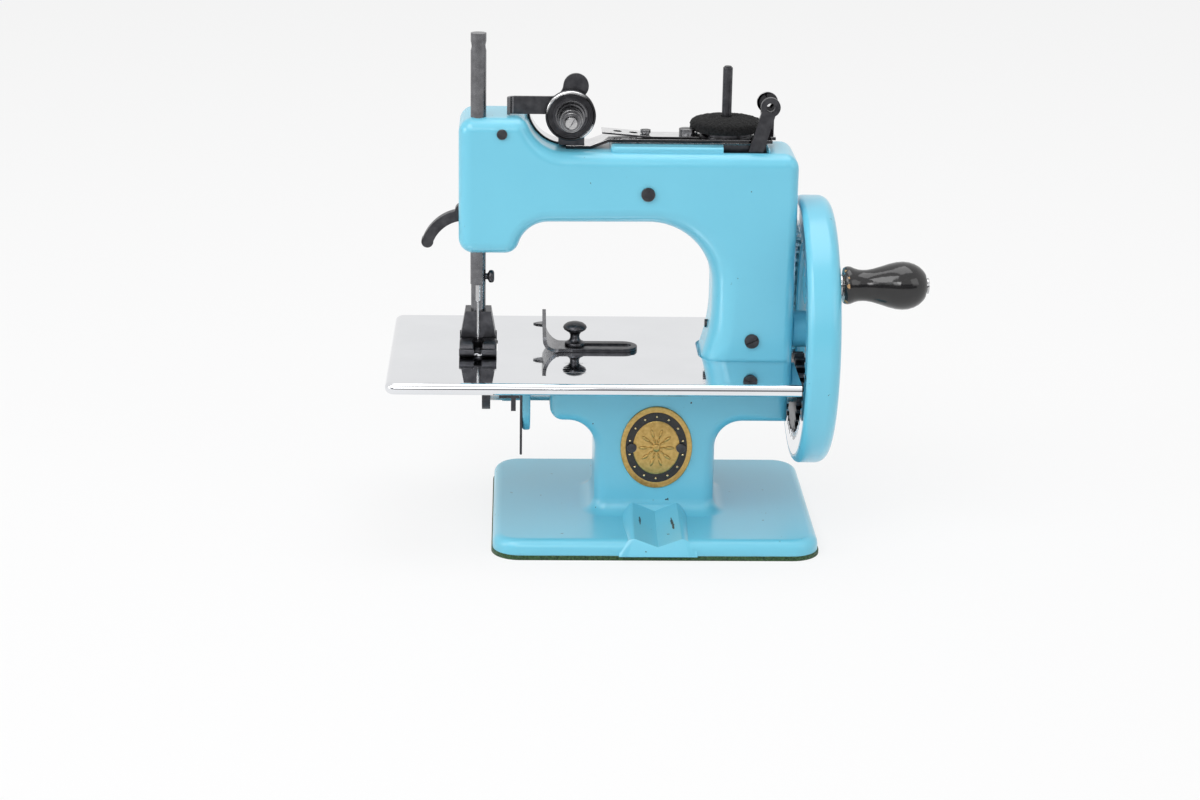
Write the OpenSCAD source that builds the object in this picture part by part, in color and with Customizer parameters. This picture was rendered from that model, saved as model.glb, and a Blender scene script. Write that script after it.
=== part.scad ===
// Hand-cranked toy chain-stitch sewing machine.
// The origin is on the table under the middle of the base. +X points to the hand wheel, -Y to the front.

/* [Base] */
// Length of the base slab
base_l = 107.6; // [100:0.1:120]
// Depth of the base slab
base_d = 86.4; // [80:0.1:96]
// Height of the slab's flat top above the table
base_top = 6.5; // [5.5:0.1:8]
// Radius of the slab's corners in plan
base_corner_r = 9; // [6:0.5:14]
// Radius of the slab's upper edge
base_edge_r = 3.2; // [2:0.1:4]
// Thickness of the felt under the base
felt_t = 1.5; // [1:0.1:2]
// How far the felt shows round the slab
felt_proud = 0.4; // [0.2:0.1:1]
// Spacing of the two ridges of the clamp seat
clamp_ridge_gap = 16.2; // [12:0.1:20]
// Depth of the V between those ridges
clamp_v_depth = 2.6; // [1.5:0.1:3]
// Width of the clamp seat at its foot
clamp_w = 24; // [22:0.5:30]

/* [Frame] */
// Depth of the column and of the bed frame
frame_d = 30; // [28:0.5:36]
// Length of the column
column_l = 40.4; // [36:0.1:46]
// Distance of the bed's left end from the middle
bed_left = 35; // [32:0.5:38]
// Distance of the bed's right end from the middle
bed_right = 44.5; // [43:0.1:45]
// Height of the bed's underside
bed_bottom = 38; // [37:0.1:38.4]
// Radius between the column and the bed
bed_fillet_r = 13; // [11:0.5:15]
// Radius of the rounded edges of column and bed
frame_edge_r = 3; // [2:0.1:4]
// Radius of the flare at the column's foot
column_foot_r = 5; // [3:0.5:8]

/* [Cloth plate] */
// Distance of the plate's left edge from the middle
plate_left = 88.6; // [84:0.1:94]
// Depth of the plate
plate_d = 84; // [78:0.5:90]
// Height of the plate's working face
plate_top = 59.5; // [59:0.1:60]
// Thickness of the sheet
plate_t = 1.2; // [1:0.1:1.5]
// Radius of the rolled edge
plate_roll_r = 2; // [1.7:0.1:2.4]

/* [Arm] */
// Thickness of the arm casting
arm_t = 27.5; // [27:0.1:30]
// Radius of the casting's rounded edges
arm_edge_r = 4; // [3:0.1:5]
// Distance of the head's left face from the middle
head_left = 65.5; // [65:0.1:68]
// Distance of the head's right face from the middle
head_right = 43.6; // [42:0.1:45]
// Distance of the pillar's right face from the middle
arm_right = 45.4; // [45:0.1:46]
// Height of the head's underside
head_bottom = 95; // [94:0.1:96]
// Height of the head's top
head_top = 140; // [139:0.1:142]
// Height of the arm's top
arm_top = 129; // [128.6:0.1:130]
// Height of the throat under the arm
throat_top = 105.5; // [105:0.1:106]
// Radius of the throat's corner beside the head
throat_left_r = 10; // [8:0.5:11]
// Radius of the throat's corner beside the pillar
throat_right_r = 22; // [18:0.5:24]
// Distance of the pillar's left face from the middle
pillar_left = 18.4; // [18:0.1:19]
// Radius of the hollow shoulder between head and arm
shoulder_r = 13; // [11.5:0.1:14]
// Wall of the hollow casting
arm_wall = 3.4; // [3:0.1:3.8]

/* [Hand wheel] */
// Outer radius of the wheel
wheel_r = 45; // [44:0.5:48]
// Width of the wheel's rim
wheel_w = 11; // [10:0.1:13]
// Height of the wheel's axle
wheel_z = 67; // [66.5:0.1:67.5]
// Gap between the pillar and the rim
wheel_gap = 1.6; // [1.4:0.1:2]
// Radius of the wheel's hub
hub_r = 6.1; // [5.5:0.1:6.5]
// Radius of the fixed stud that carries the wheel
stud_r = 4; // [3:0.1:4.2]
// Thickness of the wheel's web
web_t = 3.5; // [3:0.1:4.5]
// Radius of each window in the web
window_r = 7.2; // [5:0.1:7.6]
// Distance of the handle's axis inside the wheel's edge
handle_inset = 8.5; // [8:0.1:9]
// Length of the turned handle
handle_l = 26.6; // [22:0.1:30]
// Largest radius of the handle
handle_r = 7.85; // [7:0.05:9]

/* [Gears] */
// Size of the gear teeth: pitch diameter per tooth
gear_module = 1.2; // [1.19:0.01:1.21]
// Width of the ring gear
gear_w = 4.2; // [3.6:0.1:4.4]

/* [Shaft] */
// Radius of the main shaft under the bed
shaft_r = 3; // [2.6:0.1:3.2]
// Radius swept by the looper
looper_r = 6; // [5:0.1:6.4]

/* [Needle] */
// Distance of the needle from the middle, to the left
needle_x = 59.1; // [58.9:0.1:59.3]
// Distance of the needle in front of the middle
needle_y = 8; // [7.9:0.1:8.2]
// Radius of the needle bar
needle_bar_r = 2.55; // [2.4:0.05:2.6]
// Height of the needle bar's top end
needle_bar_top = 167.2; // [164:0.1:170]
// Height of the needle bar's lower end
needle_bar_bottom = 81.2; // [80.5:0.1:83]
// Height of the needle's point
needle_tip = 63.5; // [63:0.1:66]
// Full stroke of the needle bar
needle_stroke = 15; // [14:0.5:15]

/* [Lever] */
// Distance of the lever's pivot from the middle, to the left
pivot_x = 3.8; // [3.5:0.1:4.2]
// Height of the lever's pivot
pivot_z = 115.9; // [115.6:0.1:116.2]
// Thickness of the stamped lever
lever_t = 1.8; // [1.5:0.1:2]
// Height of the lever's eyelet
eyelet_z = 143.9; // [142:0.1:146]

/* [Presser] */
// Distance of the presser bar behind the needle bar
presser_back = 6.5; // [6.5:0.1:7]
// Radius of the presser bar
presser_bar_r = 2.45; // [2.3:0.05:2.5]
// Width of the presser foot
foot_w = 12.4; // [11.5:0.1:13]
// Height of the lifter's pivot
lifter_z = 107.2; // [106.8:0.1:107.6]

/* [Tension] */
// Distance of the tension stud from the middle, to the left
tension_x = 29.2; // [28:0.1:30]
// Height of the tension stud
tension_z = 140.4; // [139.8:0.1:142]
// Radius of the tension discs
disc_r = 8.1; // [7.4:0.1:8.4]
// Wire radius of the conical spring
spring_wire_r = 0.4; // [0.3:0.05:0.45]

/* [Spool] */
// Distance of the spool pin from the middle, to the right
spool_x = 22.5; // [22:0.1:23]
// Distance of the spool pin behind the middle
spool_y = 5; // [4.8:0.1:5.4]
// Radius of the spool pin
spool_pin_r = 1.6; // [1.3:0.1:1.8]
// Height of the spool pin's top
spool_pin_top = 155; // [150:0.5:165]
// Radius of the felt disc
spool_felt_r = 11.1; // [10:0.1:11.2]

/* [Cloth gauge] */
// Distance of the thumb screw from the middle, to the left
gauge_x = 26.7; // [26:0.1:28]
// Width of the gauge's strip
gauge_w = 10; // [9:0.5:12]
// Height of the gauge's fence above the plate
fence_h = 11; // [9:0.5:13]

/* [Hidden] */
$fn = 48;

// Facets of the ball that rounds the castings
round_facets = 16;
// Overrun of every cut
overrun = 1;
// Overlap of shapes that belong to one casting
weld = 0.6;
// Radial play of running fits, of seated fits, and the gap between loose neighbours
run_play = 0.06;
seat_play = 0.02;
gap = 0.3;

// Colours
enamel = "#6fc3dd";
blackened = "#2b2b2d";
steel = "#b9bcc0";
chrome = "#d8dbde";
brass = "#b8923c";
green_felt = "#2f5a34";
black_felt = "#1c1c1d";
lacquer = "#17130f";

// Frame
column_x = 0.3;
column_left = column_x - column_l / 2;
column_right = column_x + column_l / 2;
bed_top = plate_top - plate_t;
bed_wall = 5;
pocket_d = 20;
pocket_floor = 40;
crank_pocket_d = 16;
lug_left = 44.2;
lug_t = 2.7;
lug_r = 9.7;
lug_top = 54;
bridge_d = 14;
bridge_h = 9;
clamp_x = 0.5;
clamp_back_top = 10.2;
clamp_front_top = 6.8;
clamp_inset = 2.4;
clamp_front = base_d / 2 - clamp_inset;
clamp_run = clamp_front - frame_d / 2;
clamp_tilt = atan((clamp_back_top - clamp_front_top) / clamp_run);
groove_start = column_foot_r;

// Badge
badge_z = 29.7;
badge_x = 0.7;
badge_half_w = 12;
badge_half_h = 14.3;
badge_t = 0.8;
rivet_reach = 8.2;
rivet_r = 1.6;
rivet_head = 0.6;
rivet_l = 4;

// Arm
throat_left = 46.2;
foot_flare = 3.2;
foot_flare_h = 10;
foot_straight_h = 3.5;
arm_roof = 3.2;
head_wall = 2.4;
head_floor = 4;
head_roof = 6;
pillar_inner_wall = 2.6;
ridge_left = 16;
ridge_right = 36;
ridge_d = 21;
ridge_h = 1.8;
ridge_top = arm_top + ridge_h;
plate_clear = 0.4;
plate_right = arm_right + plate_clear;

// Gears and shaft
ring_teeth = 60;
pinion_teeth = 22;
ring_pitch_r = gear_module * ring_teeth / 2;
pinion_pitch_r = gear_module * pinion_teeth / 2;
addendum_share = 0.85;
dedendum_share = 1.15;
tip_share = 0.12;
root_share = 0.28;
shaft_z = wheel_z - ring_pitch_r + pinion_pitch_r;
wheel_x = arm_right + wheel_gap;
ring_wall = 5;
ring_outer_r = ring_pitch_r + dedendum_share * gear_module + ring_wall;
pinion_inset = 0.4;
pinion_x = wheel_x + pinion_inset;
pinion_w = gear_w - pinion_inset - gap;
shaft_left = 57;
shaft_right = pinion_x + gear_w;
bush_r = 4.4;
looper_x = 57.8;
looper_w = 2.8;
looper_hook_w = 2.2;
cam_x = 51;
cam_w = 3.4;
cam_r = 4.4;
cam_offset = 1.2;
web_set_back = 0.45;
window_count = 6;
rim_t = 10.8;
rim_inner_r = wheel_r - rim_t;
window_inset = 12.7;
window_reach = rim_inner_r - window_inset;
rim_edge_r = 4;
rim_left_edge_r = 2;
wheel_right = wheel_x + wheel_w;
hub_left = arm_right + gap + gap;
screw_head_h = 2.2;

// Handle
handle_angle = 141.3;
handle_reach = wheel_r - handle_inset;
handle_y = handle_reach * cos(handle_angle);
handle_z = wheel_z + handle_reach * sin(handle_angle);
handle_pin_r = 1.8;
handle_collar_r = 3.6;
handle_collar_t = 1;
handle_x = wheel_right + handle_collar_t + gap;
handle_stations_share = [0, 0.08, 0.23, 0.45, 0.72, 0.92, 1];
handle_radii_share = [0.72, 0.79, 0.65, 0.78, 1, 0.84, 0.5];
handle_steps = 5;
handle_rivet_r = 2.6;
handle_rivet_t = 0.8;

// Needle lever and its drive
stud_pin_r = 1.1;
stud_x = 54.3;
stud_half = 2;
lever_reach = stud_x - pivot_x;
lever_tilt = asin(needle_stroke / 2 / lever_reach);
stud_z = pivot_z + needle_stroke / 2;
lever_h = 4.8;
lever_tip_h = 5.6;
fork_slot_l = 4.6;
fork_play = 0.45;
lever_pin_reach = 27;
lever_pin_x = -pivot_x + lever_pin_reach * cos(lever_tilt);
lever_pin_z = pivot_z - lever_pin_reach * sin(lever_tilt);
lever_pin_r = 1.3;
lever_eye_wall = 1.3;
pivot_r = 1.7;
pivot_head_r = 2.3;
pivot_head_t = 0.9;
eyelet_x = 35.7;
eyelet_r = 3.2;
eyelet_hole_r = 1.4;
finger_w = 4.6;
finger_foot_x = 26.6;
finger_foot_z = 113.2;
finger_slot_left = 20.6;
finger_slot_right = 35.4;
throw = lever_pin_reach * sin(lever_tilt);
crank_pin_r = 1.3;
crank_wall = 1.1;
crank_w = 2;
pitman_w = 2.4;
pitman_x = lever_pin_x - pitman_w / 2;
crank_left_x = pitman_x - gap - crank_w;
crank_right_x = pitman_x + pitman_w + gap + gap;
pitman_eye_r = 2.6;
pitman_top_eye_r = 2.8;
pitman_half = 0.9;
pitman_y = -needle_y + lever_t / 2 + gap + pitman_w / 2;
crank_z = shaft_z - throw;
crank_pocket_floor = crank_z - pitman_eye_r - gap;
crank_pocket_right = crank_right_x + crank_w + gap;
crank_pocket_left = crank_left_x - gap - gap;

// Needle
thread_hole_r = 1.1;
thread_hole_drop = 4.2;
thread_notch_r = 2.2;
thread_notch_out = 1.5;
shank_r = 0.8;
blade_r = 0.4;
shank_l = 9;
shank_out = 3;
needle_point_l = 3.2;
clamp_screw_rise = 5.3;
clamp_screw_z = needle_bar_bottom + clamp_screw_rise;
clamp_screw_r = 0.9;
clamp_head_r = 2.1;
clamp_head_l = 3;
clamp_neck_l = 0.6;

// Presser
presser_y = -needle_y + presser_back;
presser_top = 126;
collar_r = 3.6;
collar_h = 2.4;
lifter_hub_r = 2.5;
lifter_x = needle_x + presser_bar_r + lifter_hub_r + gap + seat_play;
collar_z = lifter_z + lifter_hub_r + gap;
lifter_t = 3.4;
lifter_arc_r = 13.5;
lifter_w = 3.6;
lifter_tip_r = 2;
lifter_arc_x = 63.2;
lifter_arc_z = 92.4;
lifter_start_angle = 95;
lifter_sweep_angle = 66;
lifter_pin_r = 1;
lifter_pin_l = 12;
lifter_slot_low = 5;
lifter_slot_high = 6;
spring_sleeve_r = 3.4;
foot_sole_t = 1.5;
foot_block_w = 11.6;
foot_block_bottom = 64.5;
foot_block_top = 75.5;
foot_front = 13.6;
foot_heel = 2.6;
foot_block_gap = 0.9;
foot_block_front = needle_y - needle_bar_r - foot_block_gap;
foot_curl_r = 3;
foot_slot_w = 2.6;
foot_hole_r = 1.8;
foot_riser_t = 2.2;

// Feed
dog_inset = 2.7;
dog_left = needle_x - dog_inset;
dog_w = 3.2;
dog_back = 7.2;
dog_front = 1.2;
dog_tooth_pitch = 1.2;
dog_tooth_h = 0.7;
dog_tooth_angle = 45;
feed_travel = 1.5;
feed_t = 1.5;
feed_z = lug_top + gap;
feed_front = 23;
feed_right = lug_left - lug_t;
flange_left = 52;
flange_right = 45.2;
flange_bottom = 49;
tab_left = 48;
tab_right = 46.4;
tab_bottom = 44.6;
feed_spring_t = 0.8;
feed_spring_front = 9;
feed_spring_w = 5;
feed_spring_top = 50;
feed_spring_bottom = 27;
needle_hole_r = 1.5;

// Strap and its fittings
strap_d = 11.4;
strap_y = 0.2;
strap_t = 1.1;
pad_t = 0.5;
pad_left = 15.4;
pad_right = 35.4;
strap_right = 37;
strap_bend_start = 16.6;
strap_bend_end = 22.6;
strap_left = head_right - shoulder_r;
curl_y = 4.2;
curl_d = 7.4;
curl_t = 0.7;
curl_gap = 0.1;
curl_top = head_top - curl_t;
strap_z = ridge_top + pad_t;
leaf_left = 18.8;
leaf_right = 13;
leaf_d = 8;
leaf_t = 0.6;
leaf_rise = 1.4;
leaf_touch = 2;
leaf_holes = [-13.6, -8.4];
leaf_hole_r = 1.4;
strap_screw_x = [9.2, -4.4];
strap_screw_r = [2.6, 1.7];
strap_screw_head = [2, 1];
strap_screw_shank_r = 1.2;
strap_screw_l = 3.2;
ring_guide_y = 8.6;
ring_guide_t = 1.2;
ring_guide_x = 36.2;
ring_guide_z = 142.4;
ring_guide_r = 3.5;
ring_guide_hole_r = 1.3;
ring_neck_half = 2.4;
ring_guide_foot_left = 34.6;
ring_guide_foot_right = 38.6;

// Tension
bracket_t = 1.1;
bracket_y = 4.4;
bracket_core_r = 5.4;
bracket_foot_left = 33;
bracket_foot_right = 24.6;
guide_arm_left = 49.9;
guide_arm_bottom = head_top + gap;
guide_arm_h = 5.8;
guide_fillet_r = 4;
guide_hook = 2.2;
paddle_x = 27.5;
paddle_z = 149.6;
paddle_r = 4.15;
paddle_neck_w = 5;
stud_len = 15.6;
stud_rad = 1.9;
stud_slot_angle = -55;
stud_slot_w = 0.8;
stud_slot_depth = 1;
disc_t = 0.7;
disc_dish = 1.1;
disc_flat_r = 5.6;
nut_r = 3.7;
nut_l = 3.2;
nut_grip_l = 1.9;
nut_end_r = 3;
nut_from = 10.2;
spring_turns = 3;
spring_rings = 8;
spring_sides = 6;
spring_large_r = 5;
spring_small_r = 2.7;

// Spool
spool_washer_r = 8.6;
spool_washer_t = 1.4;
spool_felt_t = 2.6;
spool_felt_round = 1.2;
spool_pin_tip = 0.4;
spool_shoulder = 0.2;
spool_seat_r = spool_pin_r + spool_shoulder;
spool_seat_top = strap_z + strap_t + spool_washer_t + spool_felt_t;

// Screws in the arm
pillar_screw_x = 31.6;
pillar_screw_z = 66.5;
side_screw_z = 68.7;
side_screw_x = pillar_left - foot_flare * (1 - (side_screw_z - bed_top - foot_straight_h) / foot_flare_h);
pillar_screw_r = 2.4;
pillar_screw_head = 0.8;
pillar_screw_shank_r = 1.4;
pillar_slot_angle = -25;
screw_slot_w = 0.7;
screw_slot_depth = 0.5;
head_screw_x = 51.4;
head_screw_z = 135.3;
head_screw_r = 1.7;

// Cloth gauge
gauge_t = 1.2;
gauge_lift = 0.1;
gauge_right = 5.7;
gauge_fence_x = 37.6;
gauge_fan_x = 31.5;
gauge_fan_d = 20;
gauge_slot_r = 1.9;
gauge_slot_left = 27.6;
gauge_slot_right = 9.6;
gauge_screw_r = 1.6;
gauge_collar_r = 3.4;
gauge_collar_t = 1.1;
gauge_neck_r = 1.5;
gauge_head_r = 4;
gauge_head_z = 65.2;
gauge_head_h = 3.4;
gauge_screw_l = 3.6;
fence_notch = 5;
tongue_reach = 3;
tongue_w = 5;
tongue_z = 6;

// A block from one corner to the other
module box(x, y, z) {
  translate([x[0], y[0], z[0]]) cube([x[1] - x[0], y[1] - y[0], z[1] - z[0]]);
}

// A round pin along X, from x, of length l, at y and z
module pin_x(x, l, y, z, r) {
  translate([x, y, z]) rotate([0, 90, 0]) cylinder(h = l, r = r);
}

// A round pin along +Y
module pin_y(y, l, x, z, r) {
  translate([x, y + l, z]) rotate([90, 0, 0]) cylinder(h = l, r = r);
}

// A round pin along +Z
module pin_z(z, l, x, y, r) {
  translate([x, y, z]) cylinder(h = l, r = r);
}

// An outline in X and Z, made t thick along Y round the plane y
module side_plate(y, t) {
  translate([0, y, 0]) rotate([90, 0, 0]) linear_extrude(t, center = true) children();
}

// A profile in Y and Z that runs along +X from x
module bar_x(x, l) {
  translate([x, 0, 0]) rotate([90, 0, 90]) linear_extrude(l) children();
}

// A profile of radius and height turned about an axis along +X that starts at x
module turned_x(x, y, z) {
  translate([x, y, z]) rotate([0, 90, 0]) rotate_extrude() children();
}

// A profile of radius and height turned about an axis along -Y that starts at y
module turned_front(x, y, z) {
  translate([x, y, z]) rotate([90, 0, 0]) rotate_extrude() children();
}

// An outline in X and Z as a plate with all its edges rounded
module rounded_plate(t, r) {
  minkowski() {
    rotate([90, 0, 0]) linear_extrude(t - 2 * r, center = true) offset(delta = -r) children();
    sphere(r, $fn = round_facets);
  }
}

// Fills the inside corner at x, z with a hollow round; sx and sz are the signs of the open side
module corner_fill(x, z, r, sx, sz) {
  translate([x, z]) mirror([sx < 0 ? 1 : 0, 0]) mirror([0, sz < 0 ? 1 : 0]) difference() {
    translate([-weld, -weld]) square(r + weld);
    translate([r, r]) circle(r);
  }
}

// A rectangle between two corners
module rect(x, z) {
  translate([x[0], z[0]]) square([x[1] - x[0], z[1] - z[0]]);
}

// The section of a slab with rounded upper edges
module slab_section(w, h, r) {
  rect([-w / 2, w / 2], [0, h - r]);
  rect([-w / 2 + r, w / 2 - r], [0, h]);
  intersection() {
    rect([-w / 2, w / 2], [0, h]);
    for (side = [-1, 1]) translate([side * (w / 2 - r), h - r]) circle(r);
  }
}

// A slab with round corners in plan and a rounded upper edge
module rounded_slab(l, d, h, corner, edge) {
  translate([-l / 2 + corner, 0, 0]) bar_x(0, l - 2 * corner) slab_section(d, h, edge);
  side_plate(0, d - 2 * corner) slab_section(l, h, edge);
  for (sx = [-1, 1], sy = [-1, 1])
    translate([sx * (l / 2 - corner), sy * (d / 2 - corner), 0]) rotate_extrude() {
      rect([0, corner], [0, h - edge]);
      rect([0, corner - edge], [0, h]);
      intersection() {
        translate([corner - edge, h - edge]) circle(edge);
        rect([0, corner], [0, h]);
      }
    }
}

// Points of a toothed wheel: n teeth with straight flanks, half widths as shares of the pitch
function teeth_points(n, tip_r, root_r, tip_half_share, root_half_share, start) = [
  for (i = [0 : n - 1])
    for (p = [[root_r, -root_half_share], [tip_r, -tip_half_share], [tip_r, tip_half_share],
              [root_r, root_half_share]])
      let (a = start + (i + p[1]) * 360 / n) [p[0] * cos(a), p[0] * sin(a)]
];

// Points of an ellipse
function ellipse_points(a, b) = [for (i = [0 : $fn - 1]) [a * cos(i * 360 / $fn), b * sin(i * 360 / $fn)]];

// A slot across a screw head
module screw_slot_front(x, y, z, r, turn) {
  translate([x, y, z]) rotate([0, turn, 0])
    box([-r - overrun, r + overrun], [-overrun, screw_slot_depth], [-screw_slot_w / 2, screw_slot_w / 2]);
}

// Side view of column and bed in one outline, run past the bed's top
module frame_outline() {
  rect([column_left, column_right], [felt_t, bed_top + frame_edge_r + overrun]);
  rect([-bed_left, bed_right], [bed_bottom, bed_top + frame_edge_r + overrun]);
  corner_fill(column_left, bed_bottom, bed_fillet_r, -1, -1);
  corner_fill(column_right, bed_bottom, bed_fillet_r, 1, -1);
  corner_fill(column_left, base_top, column_foot_r, -1, 1);
  corner_fill(column_right, base_top, column_foot_r, 1, 1);
}

// The raised seat for a table clamp in front of the column, without its V
module clamp_block() {
  half = clamp_w / 2;
  ridge = clamp_ridge_gap / 2;
  side_h = clamp_back_top - base_top;
  deep = clamp_front_top - felt_t;
  intersection() {
    translate([clamp_x, -frame_d / 2 + weld, clamp_back_top]) rotate([90 + clamp_tilt, 0, 0])
      linear_extrude(clamp_run / cos(clamp_tilt))
        polygon([[-half, -deep], [-half, -side_h], [-ridge, 0], [ridge, 0], [half, -side_h], [half, -deep]]);
    box([-base_l / 2, base_l / 2], [-base_d / 2, base_d / 2], [felt_t, bed_bottom]);
  }
}

// The V cut along that seat
module clamp_groove() {
  ridge = clamp_ridge_gap / 2;
  translate([clamp_x, -frame_d / 2, clamp_back_top]) rotate([90 + clamp_tilt, 0, 0])
    translate([0, 0, groove_start]) linear_extrude(base_d)
      polygon([[-ridge, 0], [0, -clamp_v_depth], [ridge, 0], [ridge, base_top], [-ridge, base_top]]);
}

// The bearing lug left of the bed, with the bridge that carries it
module bearing_lug() {
  bar_x(-lug_left, lug_t) {
    translate([0, shaft_z]) circle(lug_r);
    rect([-lug_r, lug_r], [shaft_z, lug_top]);
  }
  box([-lug_left + lug_t - weld, -bed_left + frame_edge_r], [-bridge_d / 2, bridge_d / 2],
      [lug_top - bridge_h, lug_top]);
}

// Lower casting: base slab, column, bed frame, bearing lug and clamp seat
module base_casting() {
  color(enamel) difference() {
    union() {
      translate([0, 0, felt_t])
        rounded_slab(base_l, base_d, base_top - felt_t, base_corner_r, base_edge_r);
      intersection() {
        rounded_plate(frame_d, frame_edge_r) frame_outline();
        box([-base_l, base_l], [-base_d, base_d], [felt_t + weld, bed_top]);
      }
      bar_x(column_left + frame_edge_r, column_l - 2 * frame_edge_r) {
        corner_fill(-frame_d / 2 + run_play, base_top, column_foot_r, -1, 1);
        corner_fill(frame_d / 2 - run_play, base_top, column_foot_r, 1, 1);
      }
      clamp_block();
      bearing_lug();
    }
    clamp_groove();
    box([-bed_left + bed_wall, bed_right - bed_wall], [-pocket_d / 2, pocket_d / 2],
        [pocket_floor, bed_top + overrun]);
    box([crank_pocket_left, crank_pocket_right], [-crank_pocket_d / 2, crank_pocket_d / 2],
        [crank_pocket_floor, bed_top]);
    pin_x(-bed_left - overrun, bed_wall + 2 * overrun, 0, shaft_z, bush_r + seat_play);
    pin_x(bed_right - bed_wall - overrun, bed_wall + 2 * overrun, 0, shaft_z, bush_r + seat_play);
    pin_x(-lug_left - overrun, lug_t + 2 * overrun, 0, shaft_z, shaft_r + run_play);
    pin_x(-lug_left + lug_t, lug_left - lug_t - bed_left, 0, shaft_z, shaft_r + gap);
    for (side = [-1, 1])
      pin_y(-frame_d / 2 - overrun, rivet_l + overrun, badge_x + side * rivet_reach, badge_z,
            rivet_r / 2 + seat_play);
  }
}

// Felt pad under the base
module base_felt() {
  color(green_felt)
    rounded_slab(base_l + 2 * felt_proud, base_d + 2 * felt_proud, felt_t,
                 base_corner_r + felt_proud, felt_t / 4);
}

// Side view of pillar, arm and head
module arm_outline() {
  low = bed_top - 2 * arm_edge_r;
  rect([-head_left, -throat_left], [head_bottom, head_top]);
  rect([-throat_left - weld, -head_right], [throat_top, head_top]);
  rect([-head_left, arm_right], [throat_top, arm_top]);
  rect([pillar_left, arm_right], [low, arm_top]);
  corner_fill(-head_right, arm_top, shoulder_r, 1, 1);
  corner_fill(-throat_left, throat_top, throat_left_r, 1, -1);
  corner_fill(pillar_left, throat_top, throat_right_r, -1, -1);
  polygon([
    [pillar_left + weld, bed_top + foot_straight_h + foot_flare_h],
    [pillar_left, bed_top + foot_straight_h + foot_flare_h],
    [pillar_left - foot_flare, bed_top + foot_straight_h],
    [pillar_left - foot_flare, low],
    [pillar_left + weld, low]
  ]);
}

// The hollow of the arm, open under the arm and under the pillar
module arm_hollow() {
  inner = [-arm_t / 2 + arm_wall, arm_t / 2 - arm_wall];
  right = arm_right - arm_wall;
  box([-head_left + head_wall, right], inner, [throat_top - overrun, arm_top - arm_roof]);
  box([-head_left + head_wall, -throat_left - arm_wall], inner,
      [head_bottom + head_floor, head_top - head_roof]);
  box([-head_left + head_wall, -head_right - arm_wall], inner, [throat_top, head_top - head_roof]);
  box([pillar_left + pillar_inner_wall, right], inner, [bed_top - overrun, arm_top - arm_roof]);
}

// Arm casting: pillar, arm and head
module arm_casting() {
  front = -arm_t / 2;
  color(enamel) difference() {
    union() {
      intersection() {
        rounded_plate(arm_t, arm_edge_r) arm_outline();
        box([-base_l, base_l], [-base_d, base_d], [bed_top, head_top + overrun]);
      }
      box([-ridge_left, ridge_right], [-ridge_d / 2, ridge_d / 2], [arm_top - weld, ridge_top]);
    }
    arm_hollow();
    // Bores of the two bars
    pin_z(head_bottom - overrun, head_top - head_bottom + 2 * overrun, -needle_x, -needle_y,
          needle_bar_r + run_play);
    pin_z(head_bottom - overrun, head_floor + 2 * overrun, -needle_x, presser_y,
          presser_bar_r + run_play);
    // Slot and pin hole of the lifter
    box([-head_left - overrun, -head_left + head_wall + overrun],
        [presser_y - lifter_t / 2 - gap, presser_y + lifter_t / 2 + gap],
        [lifter_z - lifter_slot_low, lifter_z + lifter_slot_high]);
    pin_y(presser_y - lifter_pin_l / 2, lifter_pin_l, -lifter_x, lifter_z, lifter_pin_r + seat_play);
    // Pivot, finger slot and spool pin
    pin_y(front - overrun, arm_t - arm_wall / 2 + overrun, -pivot_x, pivot_z, pivot_r + seat_play);
    box([finger_slot_left, finger_slot_right],
        [-needle_y - lever_t / 2 - 2 * gap, -needle_y + lever_t / 2 + 2 * gap],
        [arm_top - arm_roof - overrun, ridge_top + overrun]);
    box([finger_slot_left, finger_slot_right], [-ridge_d / 2 - overrun, -needle_y],
        [arm_top, ridge_top + overrun]);
    pin_z(arm_top - arm_roof - overrun, arm_roof + ridge_h + 2 * overrun, spool_x, spool_y,
          spool_seat_r + seat_play);
    // Screw holes
    for (x = strap_screw_x)
      pin_z(ridge_top - strap_screw_l, strap_screw_l + overrun, x, strap_y,
            strap_screw_shank_r + seat_play);
    pin_y(front - overrun, arm_wall + 2 * overrun, pillar_screw_x, pillar_screw_z,
          pillar_screw_shank_r + seat_play);
    pin_x(pillar_left - foot_flare - overrun, foot_flare + pillar_inner_wall + 2 * overrun, 0,
          side_screw_z, pillar_screw_shank_r + seat_play);
    pin_y(front - overrun, arm_wall + overrun, -head_screw_x, head_screw_z,
          head_screw_r / 2 + seat_play);
    pin_x(arm_right - arm_wall - overrun, arm_wall + 2 * overrun, 0, wheel_z, stud_r + seat_play);
  }
}

// Chrome cloth plate with rolled edges, notched round the pillar's foot
module cloth_plate() {
  roll_z = plate_top - plate_roll_r;
  x = [-plate_left + plate_roll_r, plate_right];
  y = plate_d / 2 - plate_roll_r;
  notch_left = pillar_left - foot_flare - plate_clear;
  notch_y = arm_t / 2 + plate_clear;
  color(chrome) difference() {
    union() {
      box(x, [-y, y], [plate_top - plate_t, plate_top]);
      for (side = [-1, 1]) {
        pin_x(x[0], x[1] - x[0], side * y, roll_z, plate_roll_r);
        translate([x[0], side * y, roll_z]) sphere(plate_roll_r);
      }
      pin_y(-y, 2 * y, x[0], roll_z, plate_roll_r);
    }
    box([notch_left, plate_right + overrun], [-notch_y, notch_y],
        [plate_top - plate_t - overrun, plate_top + overrun]);
    pin_z(bed_top - overrun, plate_t + 2 * overrun, -needle_x, -needle_y, needle_hole_r);
    box([-dog_left - gap - gap, -dog_left + dog_w + gap + gap],
        [-dog_front - feed_travel - gap - gap, dog_back + feed_travel + gap + gap],
        [bed_top - overrun, plate_top + overrun]);
    pin_z(bed_top - overrun, plate_t + 2 * overrun, -gauge_x, 0, gauge_screw_r + run_play);
  }
}

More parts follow.
